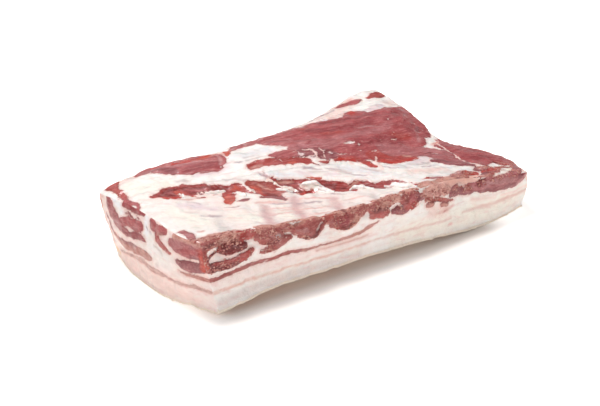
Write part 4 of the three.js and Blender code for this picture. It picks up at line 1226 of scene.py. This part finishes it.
def flesh_material(fat, lean):
    """The cut sides: lean and fat with crisp, ragged borders, and the rind's cut edge."""
    material, nodes, surface = shader("cut flesh", 0.1)
    place = nodes.place()
    grain = nodes.attribute("grain", "Vector")
    shorter = nodes.add("ShaderNodeCombineXYZ")
    nodes.join(nodes.math("MULTIPLY_ADD", nodes.attribute("cut"), CUT_GRAIN - 1, 1), shorter.inputs["X"])
    nodes.join(1.0, shorter.inputs["Y"])
    nodes.join(1.0, shorter.inputs["Z"])
    fibres = nodes.scale(grain, shorter.outputs[0])
    ragged = nodes.noise(nodes.scale(fibres, RAGGED_EDGE), 1, 4, 0.68)
    fray = nodes.math("MULTIPLY_ADD", nodes.attribute("cut"), CUT_FRAY - TORN_FRAY, TORN_FRAY)
    leanness = nodes.math("MULTIPLY_ADD", nodes.math("SUBTRACT", ragged, 0.5), fray, nodes.attribute("lean"))
    is_lean = nodes.ramp(leanness, -0.25, 0.35)

    muscle = nodes.add("ShaderNodeGroup", node_tree=lean)
    nodes.join(fibres, muscle.inputs["Grain"])
    nodes.join(nodes.attribute("lean_tint", "Color"), muscle.inputs["Tint"])
    blubber = nodes.add("ShaderNodeGroup", node_tree=fat)
    nodes.join(grain, blubber.inputs["Place"])
    nodes.join(nodes.attribute("fat_tint", "Color"), blubber.inputs["Tint"])
    nodes.join(nodes.ramp(leanness, -2.6, 0.2, 0.0, 0.85), blubber.inputs["Near lean"])
    colour = nodes.mix(is_lean, blubber.outputs["Colour"], muscle.outputs["Colour"])

    skin_edge = nodes.math("MULTIPLY_ADD", nodes.math("SUBTRACT", ragged, 0.5), 2.0, nodes.attribute("rind"))
    is_rind = nodes.ramp(skin_edge, -0.2, 0.3)
    seam = nodes.math("MULTIPLY", nodes.ramp(skin_edge, -0.5, 0.0), nodes.ramp(skin_edge, 0.9, 0.2))
    colour = nodes.mix(is_rind, colour, shade("cut rind"))
    colour = nodes.mix(nodes.math("MULTIPLY", seam, 0.3), colour, shade("rind seam"))
    nodes.join(colour, surface.inputs["Base Color"])

    fine = nodes.noise(place, 2.2, 3, 0.6)
    roughness = nodes.math("MULTIPLY_ADD", fine, 0.25, nodes.math("MULTIPLY_ADD", is_lean, -0.06, 0.32))
    nodes.join(roughness, surface.inputs["Roughness"])
    damp = nodes.ramp(nodes.noise(place, 0.12, 2, 0.5), 0.42, 0.62, 0.1, 0.75)
    nodes.join(damp, surface.inputs["Coat Weight"])
    surface.inputs["Coat Roughness"].default_value = 0.16

    height = nodes.add("ShaderNodeMix", data_type="FLOAT")
    nodes.join(is_lean, height.inputs[0])
    nodes.join(blubber.outputs["Height"], height.inputs[2])
    nodes.join(muscle.outputs["Height"], height.inputs[3])
    total = nodes.math("MULTIPLY_ADD", fine, 0.3, height.outputs[0])
    bump(nodes, surface, total, 0.75, 0.9)
    return material


def rind_material():
    """The skin under the slab: pale, with pores, faint wrinkles and yellowish patches."""
    material, nodes, surface = shader("rind", 0.08)
    place = nodes.place()
    patches = nodes.noise(place, 0.03, 3, 0.5, 0.6)
    colour = nodes.mix(nodes.ramp(patches, 0.35, 0.7), shade("rind"), shade("rind patch"))
    pores = nodes.cells(place, 0.28)
    colour = nodes.mix(nodes.ramp(pores, 0.16, 0.05, 0.0, 0.6), colour, shade("pore"))
    wrinkles = nodes.noise(nodes.scale(place, WRINKLES), 1, 3, 0.6, 1.0)
    colour = nodes.mix(nodes.ramp(wrinkles, 0.55, 0.75, 0.0, 0.3), colour, shade("wrinkle"))
    nodes.join(colour, surface.inputs["Base Color"])
    nodes.join(nodes.ramp(patches, 0.3, 0.7, 0.42, 0.58), surface.inputs["Roughness"])
    total = nodes.math("MULTIPLY_ADD", nodes.ramp(pores, 0.05, 0.2), 0.6, wrinkles)
    bump(nodes, surface, total, 0.5, 0.7)
    return material


# ---------------------------------------------------------------------------------------------
# The slab
# ---------------------------------------------------------------------------------------------
def add_piece(name, mesh):
    piece = bpy.data.objects.new(name, mesh)
    bpy.context.collection.objects.link(piece)
    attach(piece, "root")
    return piece


def build_slab(flesh_finish, rind_finish):
    skin = refined_skin()
    flesh = Flesh(skin)
    flesh.sculpt()
    flesh.store()
    flesh.mark_bits()
    sides = read(skin.polygons, "material_index", 1, np.int32)
    skin.materials.clear()
    skin.materials.append(flesh_finish)
    skin.materials.append(rind_finish)
    skin.polygons.foreach_set("material_index", (sides == SIDES.index("rind")).astype(np.int32))
    slab = add_piece("belly_slab", skin)
    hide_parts(SLAB)
    return slab


# ---------------------------------------------------------------------------------------------
# Loose bits
# ---------------------------------------------------------------------------------------------
def bits_material(name, lean, tints):
    """Bits of meat or fat that take one tint or the other from place to place."""
    material, nodes, surface = shader(name, 0.1)
    surface.inputs["Roughness"].default_value = 0.38
    place = nodes.place()
    tint = nodes.mix(nodes.ramp(nodes.noise(place, 0.35, 2, 0.6), 0.4, 0.6), rgba(tints[0]), rgba(tints[1]))
    flesh = nodes.add("ShaderNodeGroup", node_tree=lean)
    nodes.join(place, flesh.inputs["Grain"])
    nodes.join(tint, flesh.inputs["Tint"])
    nodes.join(flesh.outputs["Colour"], surface.inputs["Base Color"])
    bump(nodes, surface, flesh.outputs["Height"], 0.4, 0.4)
    return material


def bits_tree():
    """Scatters small knobbly bits over a surface, as thickly as one of its attributes says."""
    tree = bpy.data.node_groups.new("scattered bits", "GeometryNodeTree")
    inputs = [
        ("Geometry", "NodeSocketGeometry"), ("Marking", "NodeSocketString"), ("Density", "NodeSocketFloat"),
        ("Smallest", "NodeSocketVector"), ("Largest", "NodeSocketVector"), ("Seed", "NodeSocketInt"),
        ("Finish", "NodeSocketMaterial"),
    ]
    for name, kind in inputs:
        tree.interface.new_socket(name, in_out="INPUT", socket_type=kind)
    tree.interface.new_socket("Geometry", in_out="OUTPUT", socket_type="NodeSocketGeometry")
    nodes = Nodes(tree)
    entry = nodes.add("NodeGroupInput").outputs
    marking = nodes.add("GeometryNodeInputNamedAttribute", data_type="FLOAT")
    nodes.join(entry["Marking"], marking.inputs["Name"])
    points = nodes.add("GeometryNodeDistributePointsOnFaces")
    nodes.join(entry["Geometry"], points.inputs["Mesh"])
    density = nodes.math("MULTIPLY", marking.outputs["Attribute"], entry["Density"])
    nodes.join(density, points.inputs["Density"])
    nodes.join(entry["Seed"], points.inputs["Seed"])
    ball = nodes.add("GeometryNodeMeshIcoSphere")
    ball.inputs["Radius"].default_value = MM
    ball.inputs["Subdivisions"].default_value = 1
    size = nodes.add("FunctionNodeRandomValue", data_type="FLOAT_VECTOR")
    nodes.join(entry["Smallest"], size.inputs["Min"])
    nodes.join(entry["Largest"], size.inputs["Max"])
    nodes.join(entry["Seed"], size.inputs["Seed"])
    placed = nodes.add("GeometryNodeInstanceOnPoints")
    nodes.join(points.outputs["Points"], placed.inputs["Points"])
    nodes.join(ball.outputs["Mesh"], placed.inputs["Instance"])
    nodes.join(points.outputs["Rotation"], placed.inputs["Rotation"])
    nodes.join(size.outputs["Value"], placed.inputs["Scale"])
    solid = nodes.add("GeometryNodeRealizeInstances")
    nodes.join(placed.outputs["Instances"], solid.inputs["Geometry"])
    finished = nodes.add("GeometryNodeSetMaterial")
    nodes.join(solid.outputs["Geometry"], finished.inputs["Geometry"])
    nodes.join(entry["Finish"], finished.inputs["Material"])
    nodes.join(finished.outputs["Geometry"], nodes.add("NodeGroupOutput").inputs["Geometry"])
    return tree


# Bits per square metre where they lie thickest, and their smallest and largest half sizes
CRUMBS_DENSITY = 4.5e5
CRUMB_SIZES = ((0.3, 0.3, 0.2), (1.5, 1.0, 0.7))
SHREDS_DENSITY = 1.2e5
SHRED_SIZES = ((0.3, 0.2, 0.15), (1.8, 0.6, 0.4))


def scatter_bits(name, slab, tree, finish, marking, density, sizes, seed):
    """Scatter bits over a copy of the slab's skin, and keep them as one plain mesh."""
    host = bpy.data.objects.new("host", slab.data.copy())
    bpy.context.collection.objects.link(host)
    bits = host.modifiers.new("bits", "NODES")
    bits.node_group = tree
    wanted = {
        "Marking": marking, "Density": density, "Smallest": sizes[0], "Largest": sizes[1], "Seed": seed,
        "Finish": finish,
    }
    for item in tree.interface.items_tree:
        if item.in_out == "INPUT" and item.name in wanted:
            bits[item.identifier] = wanted[item.name]
    evaluated = host.evaluated_get(bpy.context.evaluated_depsgraph_get())
    mesh = bpy.data.meshes.new_from_object(evaluated)
    bpy.data.objects.remove(host)
    for polygon in mesh.polygons:
        polygon.use_smooth = True
    return add_piece(name, mesh)


# Flaps of fat that hang over the pockets: spines of (x, y, half width, thickness)
FLAPS = [
    [(138, 66, 1, 0.8), (142, 65, 2.2, 1), (147, 63, 2.7, 1.1), (151, 60.6, 2, 1), (154, 58, 1, 0.7)],
    [(147, 57, 1.0, 1.0), (149.5, 53, 2.6, 1.8), (152, 48.5, 2.4, 1.6), (154, 45, 1, 0.8)],
    [(169, 46, 1, 1), (173, 43, 2.6, 2.0), (177, 40, 3.0, 2.2), (180.5, 36.5, 2.2, 1.6), (183, 33.5, 1, 0.8)],
    [(196, 37, 1, 1), (199, 32.5, 2.6, 2.0), (202, 26, 3.6, 2.6), (206, 20, 3.2, 2.2), (210, 14.5, 1.4, 1)],
    [(118, 71, 0.8, 0.8), (121, 68.6, 1.8, 1.6), (124.5, 65.4, 2.2, 1.8), (127.5, 62, 1, 1)],
    [(83, 77, 0.8, 0.8), (85.5, 73, 2.2, 1.6), (87, 68.6, 2.6, 1.8), (87.4, 64.6, 1.2, 1)],
    [(43, 80, 0.8, 0.8), (45.4, 84, 1.4, 1.4), (46.4, 89, 1.2, 1.4), (46.6, 93, 0.6, 0.8)],
    [(63, 83.6, 0.6, 0.8), (68, 82, 1.5, 1.5), (74, 81, 1.5, 1.5), (78.6, 79.4, 0.7, 0.8)],
]
FLAP_RINGS = 18
FLAP_SIDES = 14
FLAP_SINK = 0.3  # share of its thickness by which a flap's middle lies in the skin
FLAP_SWELL = 1.1
FLAP_SMOOTH = 0.6  # how far its new corners round it off
FLAP_WOBBLE = (0.25, 5, 51)  # of its width: height, wave length and seed
FLAP_LUMPS = (0.3, 3.6, 52)  # and of its thickness


def flap_ring(skin, middle, heading, half, thick):
    """The corners round a flap at one place of its spine, in metres."""
    x, y = middle
    side = np.array([-heading[1], heading[0]]) / np.hypot(*heading)
    foot = skin.ray_cast(Vector(((x + LOW[0]) * MM, (y + LOW[1]) * MM, 1)), Vector((0, 0, -1)))[0]
    width = half * (1 + ripples(np.array([[x, y, 0]]), [FLAP_WOBBLE])[0])
    for turn in np.linspace(0, 2 * math.pi, FLAP_SIDES, endpoint=False):
        out = width * math.cos(turn)
        spot = np.array([x + side[0] * out, y + side[1] * out, 0])
        lift = thick * FLAP_SWELL * math.sin(turn) * (1 + ripples(spot[None], [FLAP_LUMPS])[0])
        spot[2] = foot.z / MM - thick * FLAP_SINK + lift
        spot[:2] += LOW[:2]
        yield spot * MM


def build_flaps(slab, finish):
    """Soft tongues of fat, each lying on the slab's skin along its spine."""
    skin = BVHTree.FromObject(slab, bpy.context.evaluated_depsgraph_get())
    work = bmesh.new()
    for spine in FLAPS:
        points = np.arange(len(spine))
        stations = np.linspace(0, points[-1], FLAP_RINGS)
        line = np.stack([np.interp(stations, points, column) for column in zip(*spine)], axis=1)
        rings = []
        for index, (x, y, half, thick) in enumerate(line):
            heading = (line[min(index + 1, FLAP_RINGS - 1)] - line[max(index - 1, 0)])[:2]
            ring = flap_ring(skin, (x, y), heading, half, thick)
            rings.append([work.verts.new(spot) for spot in ring])
        for first, second in zip(rings, rings[1:]):
            for step in range(FLAP_SIDES):
                after = (step + 1) % FLAP_SIDES
                work.faces.new((first[step], first[after], second[after], second[step]))
        work.faces.new(rings[0][::-1])
        work.faces.new(rings[-1])
    bmesh.ops.recalc_face_normals(work, faces=work.faces)
    bmesh.ops.subdivide_edges(work, edges=work.edges, cuts=1, use_grid_fill=True, smooth=FLAP_SMOOTH)
    for face in work.faces:
        face.smooth = True
    mesh = bpy.data.meshes.new("fat_flaps")
    work.to_mesh(mesh)
    work.free()
    mesh.materials.append(finish)
    return add_piece("fat_flaps", mesh)


def flap_material(fat):
    """Loose fat: moist and paler than the slab's, blushed here and there."""
    material, nodes, surface = shader("loose fat", 0.12)
    surface.inputs["Roughness"].default_value = 0.34
    place = nodes.place()
    blubber = nodes.add("ShaderNodeGroup", node_tree=fat)
    nodes.join(place, blubber.inputs["Place"])
    blubber.inputs["Tint"].default_value = rgba(TISSUE["white"])
    nodes.join(nodes.ramp(nodes.noise(place, 0.3, 2, 0.5), 0.5, 0.75, 0.0, 0.6), blubber.inputs["Near lean"])
    nodes.join(blubber.outputs["Colour"], surface.inputs["Base Color"])
    bump(nodes, surface, blubber.outputs["Height"], 0.5, 0.6)
    return material


# ---------------------------------------------------------------------------------------------
# Stage
# ---------------------------------------------------------------------------------------------
FLOOR_HALF = 4.0  # metres
FLOOR_DROP = 0.2  # below the rind, so that the two don't flicker
FLOOR_COLOUR = (0.88, 0.81, 0.76, 1)
FLOOR_ROUGHNESS = 0.7
FLOOR_SPECULAR = 0.1
BLACK, WHITE = (0, 0, 0, 1), (1, 1, 1, 1)
GLOW = 0.3  # of the floor, as it lights the slab
SEEN_GLOW = 0.65  # and as it looks itself
DARK_MIDDLE = (-15, -50, 0)  # the patch of floor by the slab that doesn't glow, for its shadow
DARK_HALF = (LENGTH / 2 - 54, WIDTH / 2 - 57, 0)
GLOW_REACH = (0, 34)  # how far beyond that patch the floor starts to glow, and glows fully
WORLD_LIGHT = 0.14
LIGHTS = [  # name, azimuth and elevation in degrees, distance and size in metres, power in watts
    ("back key", -172, 66, 1.6, 0.6, 25),
    ("left fill", -74, 20, 1.8, 1.8, 8),
    ("front fill", 6, 12, 2.0, 1.6, 15),
]

AIM = Vector((-20.5, -22.1, 25.0)) * MM
CAMERA_AZIMUTH = math.radians(-34.5)
CAMERA_ELEVATION = math.radians(25)
CAMERA_DISTANCE = 1.045  # metres
CAMERA_LENS = 80
CAMERA_SENSOR = 36


def from_aim(azimuth, elevation, distance):
    """A place seen from the aim: azimuth 0 is in front of the slab, and turns towards its right end."""
    flat = math.cos(elevation)
    away = Vector((math.sin(azimuth) * flat, -math.cos(azimuth) * flat, math.sin(elevation)))
    return AIM + away * distance


def look_at(thing, target):
    thing.rotation_euler = (target - thing.location).to_track_quat("-Z", "Y").to_euler()


def add_camera():
    camera = bpy.data.objects.new("camera", bpy.data.cameras.new("camera"))
    camera.data.lens = CAMERA_LENS
    camera.data.sensor_width = CAMERA_SENSOR
    camera.data.clip_start = 0.05
    camera.location = from_aim(CAMERA_AZIMUTH, CAMERA_ELEVATION, CAMERA_DISTANCE)
    look_at(camera, AIM)
    bpy.context.collection.objects.link(camera)
    bpy.context.scene.camera = camera


def add_light(name, azimuth, elevation, distance, size, power):
    light = bpy.data.objects.new(name, bpy.data.lights.new(name, "AREA"))
    light.data.shape = "DISK"
    light.data.size = size
    light.data.energy = power
    light.location = from_aim(math.radians(azimuth), math.radians(elevation), distance)
    look_at(light, AIM)
    bpy.context.collection.objects.link(light)


def floor_tone(nodes):
    """The floor's glow: none by the slab, full beyond, and stronger to look at than as a light."""
    beyond = nodes.vector("ABSOLUTE", nodes.vector("SUBTRACT", nodes.place(), DARK_MIDDLE))
    outside = nodes.vector("MAXIMUM", nodes.vector("SUBTRACT", beyond, DARK_HALF), (0, 0, 0))
    under = nodes.ramp(nodes.vector("LENGTH", outside), *GLOW_REACH)
    seen = nodes.add("ShaderNodeLightPath").outputs["Is Camera Ray"]
    glow = nodes.math("MULTIPLY", under, nodes.math("MULTIPLY_ADD", seen, SEEN_GLOW - GLOW, GLOW))
    return nodes.mix(glow, BLACK, WHITE)


def add_floor():
    """A plain pale floor, which glows a little beyond the slab's own shadow."""
    mesh = bpy.data.meshes.new("floor")
    half, low = FLOOR_HALF, -FLOOR_DROP * MM
    corners = [(-half, -half, low), (half, -half, low), (half, half, low), (-half, half, low)]
    mesh.from_pydata(corners, [], [(0, 1, 2, 3)])
    floor = bpy.data.objects.new("floor", mesh)
    bpy.context.collection.objects.link(floor)
    material = bpy.data.materials.new("studio floor")
    material.use_nodes = True
    surface = material.node_tree.nodes["Principled BSDF"]
    surface.inputs["Base Color"].default_value = FLOOR_COLOUR
    surface.inputs["Roughness"].default_value = FLOOR_ROUGHNESS
    surface.inputs["Specular IOR Level"].default_value = FLOOR_SPECULAR
    surface.inputs["Emission Strength"].default_value = 1.0
    nodes = Nodes(material.node_tree)
    nodes.join(floor_tone(nodes), surface.inputs["Emission Color"])
    mesh.materials.append(material)


def add_world():
    world = bpy.data.worlds.new("studio")
    world.use_nodes = True
    background = world.node_tree.nodes["Background"]
    background.inputs["Color"].default_value = WHITE
    background.inputs["Strength"].default_value = WORLD_LIGHT
    bpy.context.scene.world = world


add_camera()
add_world()
for light in LIGHTS:
    add_light(*light)
add_floor()
bpy.context.scene.view_settings.view_transform = "Standard"

fat_surface = fat_group()
lean_surface = lean_group()
slab = build_slab(flesh_material(fat_surface, lean_surface), rind_material())
build_flaps(slab, flap_material(fat_surface))
bits = bits_tree()
meat_finish = bits_material("meat crumbs", lean_surface, (TISSUE["tan"], TISSUE["brown"]))
shred_finish = bits_material("fat shreds", lean_surface, (TISSUE["cream"], TISSUE["blushed"]))
scatter_bits(
    "meat_crumbs", slab, bits, meat_finish, "crumbs", CRUMBS_DENSITY, CRUMB_SIZES, seed=5
)
scatter_bits(
    "fat_shreds", slab, bits, shred_finish, "shreds", SHREDS_DENSITY, SHRED_SIZES, seed=8
)
